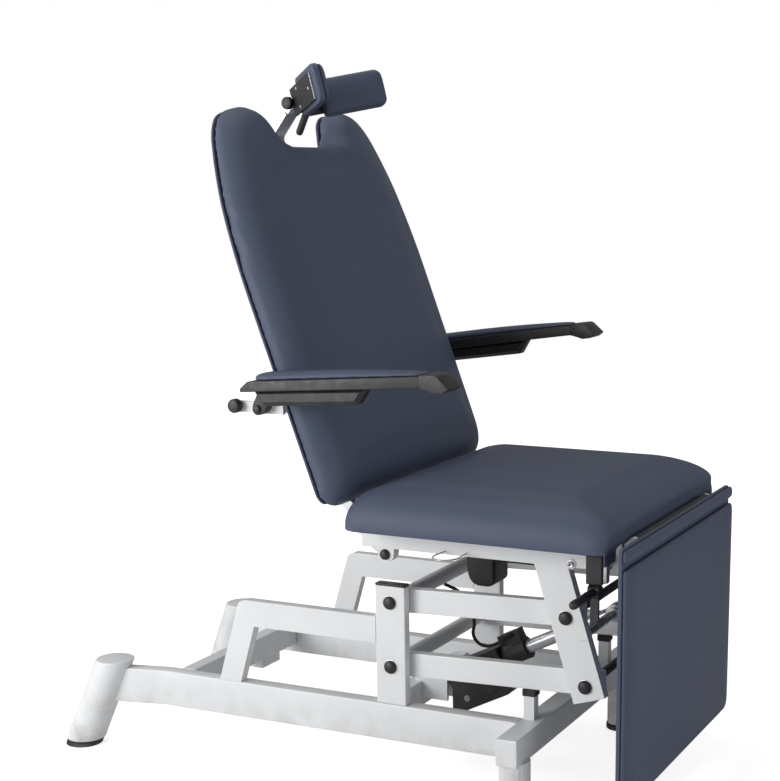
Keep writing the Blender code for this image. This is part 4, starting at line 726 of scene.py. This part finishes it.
rub_cloud = remapped(vinyl_grain_and_valley_shade, noise(vinyl_grain_and_valley_shade, given["Place"], RUB_SCALE, RUB_DETAIL), RUB_BAND, MASK)
face_tone = mixed(vinyl_grain_and_valley_shade, rub_cloud, given["Face"], given["Rub"])
# Colour: the pebble tops take the face tone, and the valleys between them take the darker blue as painted
# shade in the grain.
feed(vinyl_grain_and_valley_shade, made["Colour"], mixed(vinyl_grain_and_valley_shade, domes_and_valley_shade, given["Crease"], face_tone))
feed(vinyl_grain_and_valley_shade, made["Roughness"], remapped(vinyl_grain_and_valley_shade, domes_and_valley_shade, MASK, VINYL_GLOSS))
feed(vinyl_grain_and_valley_shade, made["Height"], domes_and_valley_shade)
hide = group_look(
    "vinyl", vinyl_grain_and_valley_shade, bump=(0.30, 0.00018), Face=VINYL_FACE, Rub=VINYL_RUB, Crease=VINYL_VALLEY_SHADE,
    Grain_Scale=PEBBLE_SCALE)
hide["Specular IOR Level"].default_value = VINYL_SPECULAR
CLOTH_DARK = (0.020, 0.020, 0.021, 1.0)
CLOTH_LIGHT = (0.036, 0.036, 0.037, 1.0)
grained_look(
    "backing_cloth", CLOTH_DARK, CLOTH_LIGHT, cloud_scale=30.0, grain_scale=1300.0, gloss=(0.80, 0.92),
    bump=(0.5, 0.0003))
STRAIGHT = 0.01


def drawn_in(corners, inset):
    count = len(corners)
    shares = [corner[3] if len(corner) > 3 else 1.0 for corner in corners]
    made = []
    for index, corner in enumerate(corners):
        spot = Vector(corner[:2])
        come = (spot - Vector(corners[index - 1][:2])).normalized()
        go = (Vector(corners[(index + 1) % count][:2]) - spot).normalized()
        turn = come.x * go.y - come.y * go.x
        first = inset * shares[index - 1]
        second = inset * shares[index]
        if abs(turn) < STRAIGHT:
            made.append(spot + Vector((-go.y, go.x)) * second)
        else:
            made.append(spot + (first * go - second * come) / turn)
    drawn = []
    for index, corner in enumerate(corners):
        left = []
        for other in (index - 1, (index + 1) % count):
            old = (Vector(corners[other][:2]) - Vector(corner[:2])).length
            left.append((made[other] - made[index]).length / old)
        drawn.append((made[index].x, made[index].y, corner[2] * min(1.0, min(left)), shares[index]))
    return drawn


PAD_STEPS = 8
CROWN_RINGS = ((1.35, 0.6), (1.7, 1.0))


def pad_form(corners, wall, round_in, round_up, crown, place, steps=PAD_STEPS):
    levels = [(0.0, 0.0)]
    for step in range(steps + 1):
        angle = math.radians(90.0 * step / steps)
        levels.append((round_in * (1.0 - math.cos(angle)), wall + round_up * math.sin(angle)))
    for inward, share in CROWN_RINGS:
        levels.append((round_in * inward, wall + round_up + crown * share))
    whole = bmesh.new()
    rims = []
    for number, (inset, height) in enumerate(levels):
        ring = rounded_plan(drawn_in(corners, inset))
        bmesh.ops.translate(ring, verts=ring.verts, vec=(0.0, 0.0, height))
        if 0 < number < len(levels) - 1:
            bmesh.ops.delete(ring, geom=ring.faces[:], context="FACES_ONLY")
        known = len(whole.edges)
        poured(ring, whole)
        whole.edges.ensure_lookup_table()
        rims.append(whole.edges[known:])
        if number:
            bmesh.ops.bridge_loops(whole, edges=rims[-2] + rims[-1])
            whole.edges.ensure_lookup_table()
            rims[-1] = [
                edge for edge in whole.edges
                if all(abs(vert.co.z - height) < MERGE_NEAR for vert in edge.verts)]
    bmesh.ops.recalc_face_normals(whole, faces=whole.faces)
    whole.transform(place)
    return whole


def smoothed(shape, verts, times):
    for turn in range(times):
        bmesh.ops.smooth_vert(
            shape, verts=verts, factor=0.5, use_axis_x=True, use_axis_y=True, use_axis_z=True)


FILL_PRESSURE = 14.0
COVER_STRETCH = 8.0
FILL_FRAMES = 14


def stuffed(shape, voxel, held, swell, ease, settle=1):
    scene = bpy.context.scene
    bmesh.ops.recalc_face_normals(shape, faces=shape.faces)
    draft = placed("draft", shape)
    block = draft.data
    grid = draft.modifiers.new("grid", "REMESH")
    grid.mode = "VOXEL"
    grid.voxel_size = voxel
    cover = bpy.data.meshes.new_from_object(draft.evaluated_get(bpy.context.evaluated_depsgraph_get()))
    draft.modifiers.clear()
    draft.data = cover
    bpy.data.meshes.remove(block)
    work = bmesh.new()
    work.from_mesh(cover)
    smoothed(work, work.verts, ease)
    work.to_mesh(cover)
    work.free()
    fixed = [vert.index for vert in cover.vertices if held(vert.co)]
    rest = [vert.co.copy() for vert in cover.vertices]
    out = [vert.normal.copy() for vert in cover.vertices]
    pins = draft.vertex_groups.new(name="pins")
    pins.add(fixed, 1.0, "REPLACE")
    filling = draft.modifiers.new("filling", "CLOTH")
    filling.settings.use_pressure = True
    filling.settings.uniform_pressure_force = FILL_PRESSURE
    filling.settings.tension_stiffness = COVER_STRETCH
    filling.settings.compression_stiffness = COVER_STRETCH
    filling.settings.effector_weights.gravity = 0.0
    filling.settings.vertex_group_mass = "pins"
    for moment in range(1, FILL_FRAMES + 1):
        scene.frame_set(moment)
    full = draft.evaluated_get(bpy.context.evaluated_depsgraph_get())
    grown = [vert.co.copy() for vert in full.data.vertices]
    draft.modifiers.clear()
    scene.frame_set(1)
    for vert, before, after, normal in zip(cover.vertices, rest, grown, out):
        step = after - before
        step -= normal * min(step.dot(normal), 0.0)
        if step.length > swell:
            step *= swell / step.length
        vert.co = before + step
    bpy.data.objects.remove(draft)
    work = bmesh.new()
    work.from_mesh(cover)
    bpy.data.meshes.remove(cover)
    loose = [vert for vert in work.verts if settle == 1 or not held(vert.co)]
    smoothed(work, loose, settle)
    return work


PAD_CRISP = 180.0


def keep_pad(name, shape, body):
    pad = keep_piece(name, shape, "vinyl", body, crisp=PAD_CRISP)
    finer = pad.modifiers.new("finer", "SUBSURF")
    finer.levels = 1
    finer.render_levels = 1
    return pad


def share_of(value, start, run):
    return min(max((value - start) / run, 0.0), 1.0)


def eased(share):
    return share * share * (3.0 - 2.0 * share)


SEAT_REAR = 0.038
SEAT_FRONT = 0.5410
SEAT_HALF = 0.306
SEAT_LOW = 0.5083
SEAT_THICK = 0.0780
SEAT_REAR_ROUND = 0.022
SEAT_FRONT_ROUND = 0.014
PINNED = 0.003
SWELL = 0.005
NOSE_FROM = 0.490
NOSE_RUN = 0.045
NOSE_LOW = 0.5270
NOSE_RISE = 0.032
NOSE_OUT = 0.012
ROLL_FROM = 0.440
ROLL_RUN = 0.117
ROLL_DROP = 0.020
SAG_FROM = 0.236
SAG_RUN = 0.040
SAG_DROP = 0.0065
CLOTH_FACING = -0.9
CLOTH_UP = 0.004
seat_plan = oblong(
    (SEAT_REAR, SEAT_FRONT), (-SEAT_HALF, SEAT_HALF),
    (SEAT_REAR_ROUND, SEAT_FRONT_ROUND, SEAT_FRONT_ROUND, SEAT_REAR_ROUND))
seat_form = pad_form(
    seat_plan, wall=0.012, round_in=0.054, round_up=0.055, crown=0.0065,
    place=Matrix.Translation((0.0, 0.0, SEAT_LOW)))
seat_shape = stuffed(
    seat_form, voxel=0.006, held=lambda point: point.z < SEAT_LOW + PINNED, swell=SWELL, ease=5, settle=14)
for vert in seat_shape.verts:
    level = (vert.co.z - SEAT_LOW) / SEAT_THICK
    roll = max((vert.co.x - ROLL_FROM) / ROLL_RUN, 0.0)
    share = share_of(vert.co.x, NOSE_FROM, NOSE_RUN)
    over = share_of(vert.co.z, NOSE_LOW, NOSE_RISE)
    sag = share_of(abs(vert.co.y), SAG_FROM, SAG_RUN)
    vert.co.x += NOSE_OUT * eased(share) * eased(over)
    vert.co.z -= ROLL_DROP * roll * roll * level
    vert.co.z -= SAG_DROP * eased(sag) * (1.0 - level)
seat_pad = keep_pad("seat_pad", seat_shape, "seat_frame")
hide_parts("seat_cushion", "seat_board")
seat_pad.data.materials.append(looks["backing_cloth"])
for face in seat_pad.data.polygons:
    if face.normal.z < CLOTH_FACING and face.center.z < SEAT_LOW + CLOTH_UP:
        face.material_index = 1

# Backrest frame: two flat steel uprights on the seat's rear hinges, joined by a lower bar with the crank
# and an upper bar that guides the headrest strap; the armrest brackets are welded to the uprights.
coated("powder_coat", "back_upright_right", "back_upright_left", "back_cross_bar", "headrest_guide")

# Backrest: a thin vinyl-covered back panel and a thick foam cushion in front of it, both cut to one outline
# with two rounded shoulders and a notch for the headrest. A dark seam runs round between the two.
BACK_HINGE = Vector((0.0163, 0.0, 0.511))
RECLINE = math.radians(20.3)
back_frame = Matrix.Translation(BACK_HINGE) @ Matrix.Rotation(-RECLINE, 4, "Y")
facing_front = Matrix(((0, 0, 1, 0), (1, 0, 0, 0), (0, 1, 0, 0), (0, 0, 0, 1)))
back_half = [
    (0.311, 0.030, 0.024, 1.0), (0.311, 0.520, 0.090, 1.0), (0.286, 0.640, 0.050, 1.0),
    (0.246, 0.740, 0.034, 1.0), (0.204, 0.768, 0.024, 0.8), (0.138, 0.770, 0.034, 0.35),
    (0.104, 0.692, 0.010, 0.5)]
edge_shares = [0.35, 0.8, 1.0, 1.0, 1.0, 1.0, 1.0]
back_plan = back_half + [
    (-u, v, back, share) for (u, v, back, other), share in zip(reversed(back_half), edge_shares)]
PANEL_BACK = -0.004
PANEL_T = 0.0046
PANEL_IN = 0.0060
PANEL_EDGE = 0.0016
PANEL_GAP = 0.0003


def on_back(out):
    return back_frame @ Matrix.Translation((out, 0.0, 0.0)) @ facing_front


panel_shape = slab(drawn_in(back_plan, PANEL_IN), PANEL_T, PANEL_EDGE, on_back(PANEL_BACK))
panel = keep_piece("back_panel", panel_shape, "vinyl", "backrest")
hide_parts("backrest_board")
NOTCH_FILL = 0.040
cushion_plan = [
    (u, v, NOTCH_FILL if v == back_half[-1][1] else back, share) for u, v, back, share in back_plan]
CUSHION_FROM = PANEL_BACK + PANEL_T + PANEL_GAP
CUSHION_IN = 0.003
LOW_FROM = 0.085
LOW_RUN = 0.055
LOW_DROP = 0.010
LOW_LIP = 0.010
back_form = pad_form(
    drawn_in(cushion_plan, CUSHION_IN), wall=0.010, round_in=0.058, round_up=0.048, crown=0.0050,
    place=on_back(CUSHION_FROM))
back_out = back_frame.inverted()
back_shape = stuffed(
    back_form, voxel=0.006, held=lambda point: (back_out @ point).x < CUSHION_FROM + PINNED,
    swell=SWELL, ease=8, settle=14)
for vert in back_shape.verts:
    spot = back_out @ vert.co
    reach = share_of(LOW_FROM, spot.z, LOW_RUN)
    spot.z -= LOW_DROP * reach * reach * share_of(spot.x, CUSHION_FROM, LOW_LIP)
    vert.co = back_frame @ spot
back_pad = keep_pad("back_pad", back_shape, "backrest")
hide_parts("backrest_cushion")

# Armrests: a black moulded beam with a hooked nose and a keel box below, on a pin behind the backrest,
# with a thin vinyl pad on top and a round clamp knob on the bracket.
ARM_PIVOT = Vector((-0.111, 0.0, 0.712))
ARM_TILT = {"right": math.radians(3.9), "left": math.radians(8.0)}
ARM_Y = 0.340
ARM_HALF = 0.026
ARM_EDGE = 0.0016
NOSE_HALF = 0.0262
NOSE_EDGE = 0.0014
KEEL_Y = 0.346
KEEL_HALF = 0.015
KEEL_CHAMFER = 0.007
LUG_IN = 0.3003
LUG_T = 0.0197
LUG_EDGE = 0.001
beam_side = [
    (-0.003, 0.0360, 0.002), (0.352, 0.0375, 0.0), (0.352, 0.0575, 0.0), (0.014, 0.0545, 0.004),
    (-0.003, 0.042, 0.003)]
nose_side = [
    (0.346, 0.0372, 0.0), (0.358, 0.0330, 0.003), (0.370, 0.0275, 0.003), (0.388, 0.0275, 0.003),
    (0.3995, 0.0345, 0.003), (0.378, 0.0590, 0.006), (0.346, 0.0590, 0.0)]
keel_side = [(0.018, 0.0385, 0.0), (0.036, 0.010, 0.003), (0.222, 0.010, 0.003), (0.244, 0.0385, 0.0)]
lug_side = [
    (-0.0105, -0.0105, 0.010), (0.0105, -0.0105, 0.010), (0.026, 0.014, 0.004), (0.022, 0.040, 0.0),
    (0.009, 0.040, 0.0), (-0.0105, 0.006, 0.006)]
ARM_PAD_SPAN = (0.022, 0.344)
ARM_PAD_HALF = 0.0240
ARM_PAD_ROUNDS = (0.016, 0.004, 0.004, 0.016)
ARM_PAD_UP = 0.0547
ARM_PAD_PINNED = 0.0014
SMALL_SWELL = 0.0015
TOP_SLOPE = math.radians(0.5)
TAPER_FROM = 0.120
TAPER_RUN = 0.220
TAPER_LOSS = 0.60
PIN_CAP_GAP = 0.0003
pin_cap = [(0.0, 0.0052), (0.0040, 0.0048), (0.0066, 0.0034), (0.0076, 0.0012), (0.0076, 0.0), (0.0, 0.0)]
KNOB_X = -0.164
KNOB_Z = 0.714
knob_profile = [
    (0.0, 0.018), (0.0085, 0.018), (0.0110, 0.0168), (0.0125, 0.0140), (0.0125, 0.0045), (0.0105, 0.0020),
    (0.0090, 0.0), (0.0, 0.0)]
for side_name, side in SIDES:
    body = "armrest_" + side_name
    place = Matrix.Translation(ARM_PIVOT) @ Matrix.Rotation(-ARM_TILT[side_name], 4, "Y")
    middle = side * ARM_Y
    beam = slab(beam_side, 2 * ARM_HALF, ARM_EDGE, place @ upright_at(middle + ARM_HALF))
    nose = slab(nose_side, 2 * NOSE_HALF, NOSE_EDGE, place @ upright_at(middle + NOSE_HALF))
    keel_place = place @ upright_at(side * KEEL_Y + KEEL_HALF)
    keel = slab(keel_side, 2 * KEEL_HALF, KEEL_CHAMFER, keel_place, segments=1)
    lug = slab(lug_side, LUG_T, LUG_EDGE, place @ upright_at(side * (LUG_IN + LUG_T / 2) + LUG_T / 2))
    shell = keep_piece("arm_shell_" + side_name, joined(beam, nose, keel, lug), "black_plastic", body)
    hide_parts(body)
    top_plan = oblong(ARM_PAD_SPAN, (middle - ARM_PAD_HALF, middle + ARM_PAD_HALF), ARM_PAD_ROUNDS)
    pad_place = place @ Matrix.Translation((0.0, 0.0, ARM_PAD_UP)) @ Matrix.Rotation(-TOP_SLOPE, 4, "Y")
    lower = pad_place.inverted()
    form = pad_form(top_plan, wall=0.004, round_in=0.009, round_up=0.0065, crown=0.001, place=pad_place)
    shape = stuffed(
        form, voxel=0.003, held=lambda point: (lower @ point).z < ARM_PAD_PINNED, swell=SMALL_SWELL, ease=3)
    for vert in shape.verts:
        spot = lower @ vert.co
        share = share_of(spot.x, TAPER_FROM, TAPER_RUN)
        spot.z *= 1.0 - TAPER_LOSS * share * share
        vert.co = pad_place @ spot
    arm_pad = keep_pad("arm_top_" + side_name, shape, body)
    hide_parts("arm_pad_" + side_name)
    cap_y = side * (LUG_IN + LUG_T + PIN_CAP_GAP)
    cap = side_turned(pin_cap, side, (ARM_PIVOT.x, cap_y, ARM_PIVOT.z))
    keep_piece("arm_pin_cap_" + side_name, cap, "black_plastic", body)
    knob_shape = side_turned(knob_profile, side, (KNOB_X, side * LUG_IN, KNOB_Z))
    knob = keep_piece("clamp_knob_" + side_name, knob_shape, "black_plastic", "arm_knob_" + side_name)
    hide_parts("arm_knob_" + side_name)

# Headrest: a bent plated strap, a black clamp with two wing plates and a stub handle, and two small pads
# in a V. Each pad has a vinyl back half and a crowned front half, sewn together round its edge.
STRAP_HALF = 0.0147
STRAP_EDGE = 0.0008
BLADE_HALF = 0.0200
BLADE_EDGE = 0.0010
HEAD_LUG_R = 0.0110
HEAD_PIVOT = Vector((0.041, 0.0, 0.768))
shank_side = oblong((-0.0228, -0.0172), (0.4800, 0.6560), 4 * (0.0,))
blade_side = [
    (-0.0230, 0.6550, 0.0), (-0.0170, 0.6550, 0.0), (-0.0170, 0.7235, 0.006), (0.0275, 0.7515, 0.0),
    (0.0243, 0.7568, 0.0), (-0.0230, 0.7290, 0.006)]
neck_side = [(0.0180, 0.7465, 0.0), (0.0340, 0.7565, 0.0), (0.0390, 0.7672, 0.0), (0.0200, 0.7534, 0.0)]
shank = slab(shank_side, 2 * STRAP_HALF, STRAP_EDGE, upright_at(STRAP_HALF))
blade = slab(blade_side, 2 * BLADE_HALF, BLADE_EDGE, upright_at(BLADE_HALF))
neck = slab(neck_side, 2 * STRAP_HALF, STRAP_EDGE, upright_at(STRAP_HALF))
strap_side = Vector((0.0, STRAP_HALF, 0.0))
lug = drum(HEAD_LUG_R, HEAD_PIVOT - strap_side, HEAD_PIVOT + strap_side, STRAP_EDGE)
strap_shape = joined(shank, blade, neck, lug)
strap_shape.transform(back_frame)
strap = keep_piece("head_strap", strap_shape, "plated_steel", "headrest_strap")
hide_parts("headrest_strap")
coated("black_plastic", "headrest_clamp")
HEAD_TIP = math.radians(-5.4)
HEAD_YAW = math.radians(46.9)
HEAD_SET = Vector((-0.008, 0.0, -0.001))
HEAD_IN = 0.056
HEAD_LEN = 0.128
HEAD_HALF_H = 0.0360
HEAD_RAISE = 0.0015
HEAD_ROUND = 0.016
HEAD_INNER_ROUND = 0.008
HEAD_BACK_T = 0.0115
HEAD_BACK_IN = 0.0006
HEAD_BACK_EDGE = 0.0022
HEAD_SEAM = 0.0006
HEAD_FRONT_IN = 0.0015
HEAD_PINNED = 0.0012
head_frame = back_frame @ Matrix.Translation(HEAD_PIVOT) @ Matrix.Rotation(-HEAD_TIP, 4, "Y")


def head_plan(side, inset):
    across = sorted((side * (HEAD_IN + inset), side * (HEAD_IN + HEAD_LEN - inset)))
    tall = HEAD_HALF_H - inset
    low, high = (HEAD_ROUND, HEAD_INNER_ROUND) if side < 0 else (HEAD_INNER_ROUND, HEAD_ROUND)
    return oblong(across, (HEAD_RAISE - tall, HEAD_RAISE + tall), (low, high, high, low))


WING_SPAN = (0.1510, 0.1600)
WING_HALF = 0.0240
WING_ROUND = 0.001
WING_T = 0.0030
WING_EDGE = 0.0004
WING_BACK = -0.0034
SCREW_BACK = -0.0044
SCREW_SPOTS = ((0.068, 0.017), (0.068, -0.017), (0.140, 0.0))
screw = [(0.0, 0.0014), (0.0016, 0.0014), (0.0028, 0.0008), (0.0032, 0.0), (0.0, 0.0)]
backward = Matrix.Rotation(math.radians(-90.0), 4, "Y")
HEAD_KNOB_AT = (0.002, -0.0213, 0.0)
head_knob = [
    (0.0, 0.0150), (0.0070, 0.0150), (0.0100, 0.0140), (0.0114, 0.0118), (0.0116, 0.0036), (0.0104, 0.0030),
    (0.0104, 0.0), (0.0, 0.0)]
knob_ring = [
    (0.0106, 0.0002), (0.0122, 0.0004), (0.0124, 0.0016), (0.0122, 0.0028), (0.0106, 0.0030),
    (0.0106, 0.0002)]
grip_shape = side_turned(head_knob, -1, HEAD_KNOB_AT, head_frame)
small_knob = keep_piece("headrest_grip", grip_shape, "black_plastic", "headrest_knob")
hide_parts("headrest_knob")
ring_shape = side_turned(knob_ring, -1, HEAD_KNOB_AT, head_frame)
keep_piece("headrest_ring", ring_shape, "plated_steel", "headrest_knob")
for side_name, side in SIDES:
    root = head_frame @ Matrix.Translation(HEAD_SET) @ Matrix.Rotation(-side * HEAD_YAW, 4, "Z")
    rear_half = slab(head_plan(side, HEAD_BACK_IN), HEAD_BACK_T, HEAD_BACK_EDGE, root @ facing_front)
    keep_piece("head_back_" + side_name, rear_half, "vinyl", "headrest")
    wing_plan = oblong([side * reach for reach in WING_SPAN], (-WING_HALF, WING_HALF), 4 * (WING_ROUND,))
    if side < 0:
        wing_plan.reverse()
    wing_place = root @ Matrix.Translation((WING_BACK, 0.0, 0.0)) @ facing_front
    trim = [slab(wing_plan, WING_T, WING_EDGE, wing_place)]
    for y, z in SCREW_SPOTS:
        trim.append(turned(screw, root @ Matrix.Translation((SCREW_BACK, side * y, z)) @ backward))
    keep_piece("wing_trim_" + side_name, joined(*trim), "plated_steel", "headrest")
    front_place = root @ Matrix.Translation((HEAD_BACK_T + HEAD_SEAM, 0.0, 0.0))
    lower = front_place.inverted()
    form = pad_form(
        head_plan(side, HEAD_FRONT_IN), wall=0.003, round_in=0.0125, round_up=0.0078, crown=0.0006,
        place=front_place @ facing_front)
    shape = stuffed(
        form, voxel=0.003, held=lambda point: (lower @ point).x < HEAD_PINNED, swell=SMALL_SWELL, ease=3)
    head_pad = keep_pad("head_front_" + side_name, shape, "headrest")
    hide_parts("head_pad_" + side_name)

# Leg rest: a thin vinyl-wrapped board hung from a hinge under the seat's front edge, with a thin foam pad
# sewn on below a crease. Short vinyl flaps hang from the seat in front of the hinge as painted shade: dark
# sheets that stand in for the shade in the gap under the seat's front edge.
# The hinge barrel takes the black plastic as painted shade, so that the gap under the seat's front edge
# reads dark.
coated("black_plastic", "leg_rest_hinge")
SHADE_FLAP_X = 0.5330
SHADE_FLAP_T = 0.0020
SHADE_FLAP_EDGE = 0.0005
SHADE_FLAP_HEIGHTS = (0.4850, 0.5105)
SHADE_FLAP_ROUNDS = (0.002, 0.002, 0.0, 0.0)
SHADE_FLAP_SPANS = ((-0.300, -0.246), (-0.212, 0.212), (0.246, 0.300))


def upright_face(x):
    return Matrix.Translation((x, 0.0, 0.0)) @ facing_front


# These flaps are dark sheets that stand in for the shade in the gap under the seat's front edge: painted
# shade.
shade_flaps = [
    slab(oblong(span, SHADE_FLAP_HEIGHTS, SHADE_FLAP_ROUNDS), SHADE_FLAP_T, SHADE_FLAP_EDGE, upright_face(SHADE_FLAP_X))
    for span in SHADE_FLAP_SPANS]
keep_piece("seat_shade_flap", joined(*shade_flaps), "vinyl", "seat_frame")
LEG_BACK = 0.5606
LEG_BOARD_T = 0.007
LEG_BOARD_EDGE = 0.0012
board_plan = oblong((-0.306, 0.306), (0.058, 0.519), (0.010, 0.010, 0.008, 0.008))
board_shape = slab(board_plan, LEG_BOARD_T, LEG_BOARD_EDGE, upright_face(LEG_BACK))
leg_board = keep_piece("leg_board", board_shape, "vinyl", "leg_rest")
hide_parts("leg_rest_board")
LEG_FOAM = 0.5678
LEG_SWELL = 0.0020
LEG_PINNED = 0.0015
LEG_SPAN = (-0.307, 0.307)
leg_plan = oblong(LEG_SPAN, (0.060, 0.4895), (0.020, 0.020, 0.010, 0.010))
leg_form = pad_form(
    leg_plan, wall=0.002, round_in=0.013, round_up=0.009, crown=0.001, place=upright_face(LEG_FOAM))
leg_shape = stuffed(
    leg_form, voxel=0.005, held=lambda point: point.x < LEG_FOAM + LEG_PINNED, swell=LEG_SWELL, ease=3)
leg_pad = keep_pad("leg_pad", leg_shape, "leg_rest")
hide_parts("leg_rest_cushion")
band_plan = oblong(LEG_SPAN, (0.4945, 0.5185), 4 * (0.006,))
band_form = pad_form(
    band_plan, wall=0.002, round_in=0.0065, round_up=0.0065, crown=0.0005, place=upright_face(LEG_FOAM),
    steps=6)
band_shape = stuffed(
    band_form, voxel=0.003, held=lambda point: point.x < LEG_FOAM + LEG_PINNED, swell=LEG_SWELL, ease=2)
keep_pad("leg_band", band_shape, "leg_rest")

# Floor: a plain pale studio floor that keeps the chair's soft shadow.
# The camera sees it almost white, and fully white further from the chair.
FLOOR_HALF = 6.0
FLOOR_GREY = (0.80, 0.80, 0.80, 1.0)
FLOOR_ROUGH = 0.9
FLOOR_GLOW = 0.74
GLOW_RUN = (0.7, 2.0)
WHITE = (1.0, 1.0, 1.0, 1.0)
floor_shape = bmesh.new()
bmesh.ops.create_grid(floor_shape, x_segments=1, y_segments=1, size=FLOOR_HALF)
floor = placed("studio_floor", floor_shape)
floor_look = bpy.data.materials.new("studio_floor")
floor_look.use_nodes = True
tree = floor_look.node_tree
matt = tree.nodes["Principled BSDF"]
matt.inputs["Base Color"].default_value = FLOOR_GREY
matt.inputs["Roughness"].default_value = FLOOR_ROUGH
seen = tree.nodes.new("ShaderNodeLightPath")
away = node_with(
    tree, "ShaderNodeVectorMath", {"operation": "LENGTH"},
    Vector=tree.nodes.new("ShaderNodeTexCoord").outputs["Object"]).outputs["Value"]
level = remapped(tree, away, GLOW_RUN, (FLOOR_GLOW, 1.0))
shine = worked(tree, "MULTIPLY", seen.outputs["Is Camera Ray"], level)
glow = node_with(tree, "ShaderNodeEmission", Color=WHITE, Strength=shine)
both = tree.nodes.new("ShaderNodeAddShader")
tree.links.new(matt.outputs[0], both.inputs[0])
tree.links.new(glow.outputs[0], both.inputs[1])
tree.links.new(both.outputs[0], tree.nodes["Material Output"].inputs["Surface"])
floor.data.materials.append(floor_look)

# Studio light: one large soft lamp low on the camera's left, weaker ones in front of the chair, behind it
# and overhead, in a dim pale room that looks white to the camera.
ROOM_LIGHT = 0.16
ROOM_GLOSS = 0.28
world = bpy.data.worlds.new("studio")
world.use_nodes = True
bpy.context.scene.world = world
tree = world.node_tree
room = tree.nodes["Background"]
seen = tree.nodes.new("ShaderNodeLightPath")
direct = worked(tree, "MAXIMUM", seen.outputs["Is Camera Ray"], seen.outputs["Is Transmission Ray"])
shown = remapped(tree, seen.outputs["Is Glossy Ray"], MASK, (ROOM_LIGHT, ROOM_GLOSS))
room.inputs["Color"].default_value = WHITE
feed(tree, room.inputs["Strength"], worked(tree, "MAXIMUM", direct, shown))


def soft_lamp(name, place, aim, power, size):
    lamp = bpy.data.lights.new(name, "AREA")
    lamp.energy = power
    lamp.size = size
    holder = bpy.data.objects.new(name, lamp)
    bpy.context.scene.collection.objects.link(holder)
    holder.location = place
    holder.rotation_euler = (Vector(aim) - Vector(place)).to_track_quat("-Z", "Y").to_euler()


LAMP_AIM = (0.0, 0.0, 0.6)
soft_lamp("key_lamp", (-1.6, -2.9, 1.3), LAMP_AIM, power=78.0, size=1.8)
soft_lamp("fill_lamp", (3.6, -0.8, 1.1), LAMP_AIM, power=27.0, size=2.0)
soft_lamp("top_lamp", (-0.2, 0.3, 3.5), LAMP_AIM, power=26.0, size=2.6)
soft_lamp("rear_lamp", (-3.0, -0.6, 1.9), LAMP_AIM, power=22.0, size=1.8)

# Camera: a long lens a little above the backrest's middle, looking down on the chair's right side
# and turned a little towards its front.
CAMERA_AT = DATUM @ Vector((1.4339, -2.7141, 1.1258))
CAMERA_TURN = math.radians(23.8)
CAMERA_DIP = math.radians(12.0)
PHOTO_SIZE = (780.0, 781.0)
LENS_PIXELS = 1615.0
AIM_PIXEL = (512.0, 512.0)
SENSOR = 36.0
level_reach = math.cos(CAMERA_DIP)
ahead = Vector((
    -math.sin(CAMERA_TURN) * level_reach, math.cos(CAMERA_TURN) * level_reach, -math.sin(CAMERA_DIP)))
right = Vector((math.cos(CAMERA_TURN), math.sin(CAMERA_TURN), 0.0))
upward = right.cross(ahead)
lens = bpy.data.cameras.new("photo_camera")
lens.sensor_width = SENSOR
lens.lens = SENSOR * LENS_PIXELS / PHOTO_SIZE[1]
lens.shift_x = (PHOTO_SIZE[0] / 2 - AIM_PIXEL[0]) / PHOTO_SIZE[1]
lens.shift_y = (AIM_PIXEL[1] - PHOTO_SIZE[1] / 2) / PHOTO_SIZE[1]
camera = bpy.data.objects.new("photo_camera", lens)
bpy.context.scene.collection.objects.link(camera)
camera.matrix_world = Matrix.Translation(CAMERA_AT) @ Matrix((right, upward, -ahead)).transposed().to_4x4()
bpy.context.scene.camera = camera
bpy.context.scene.view_settings.view_transform = "Standard"
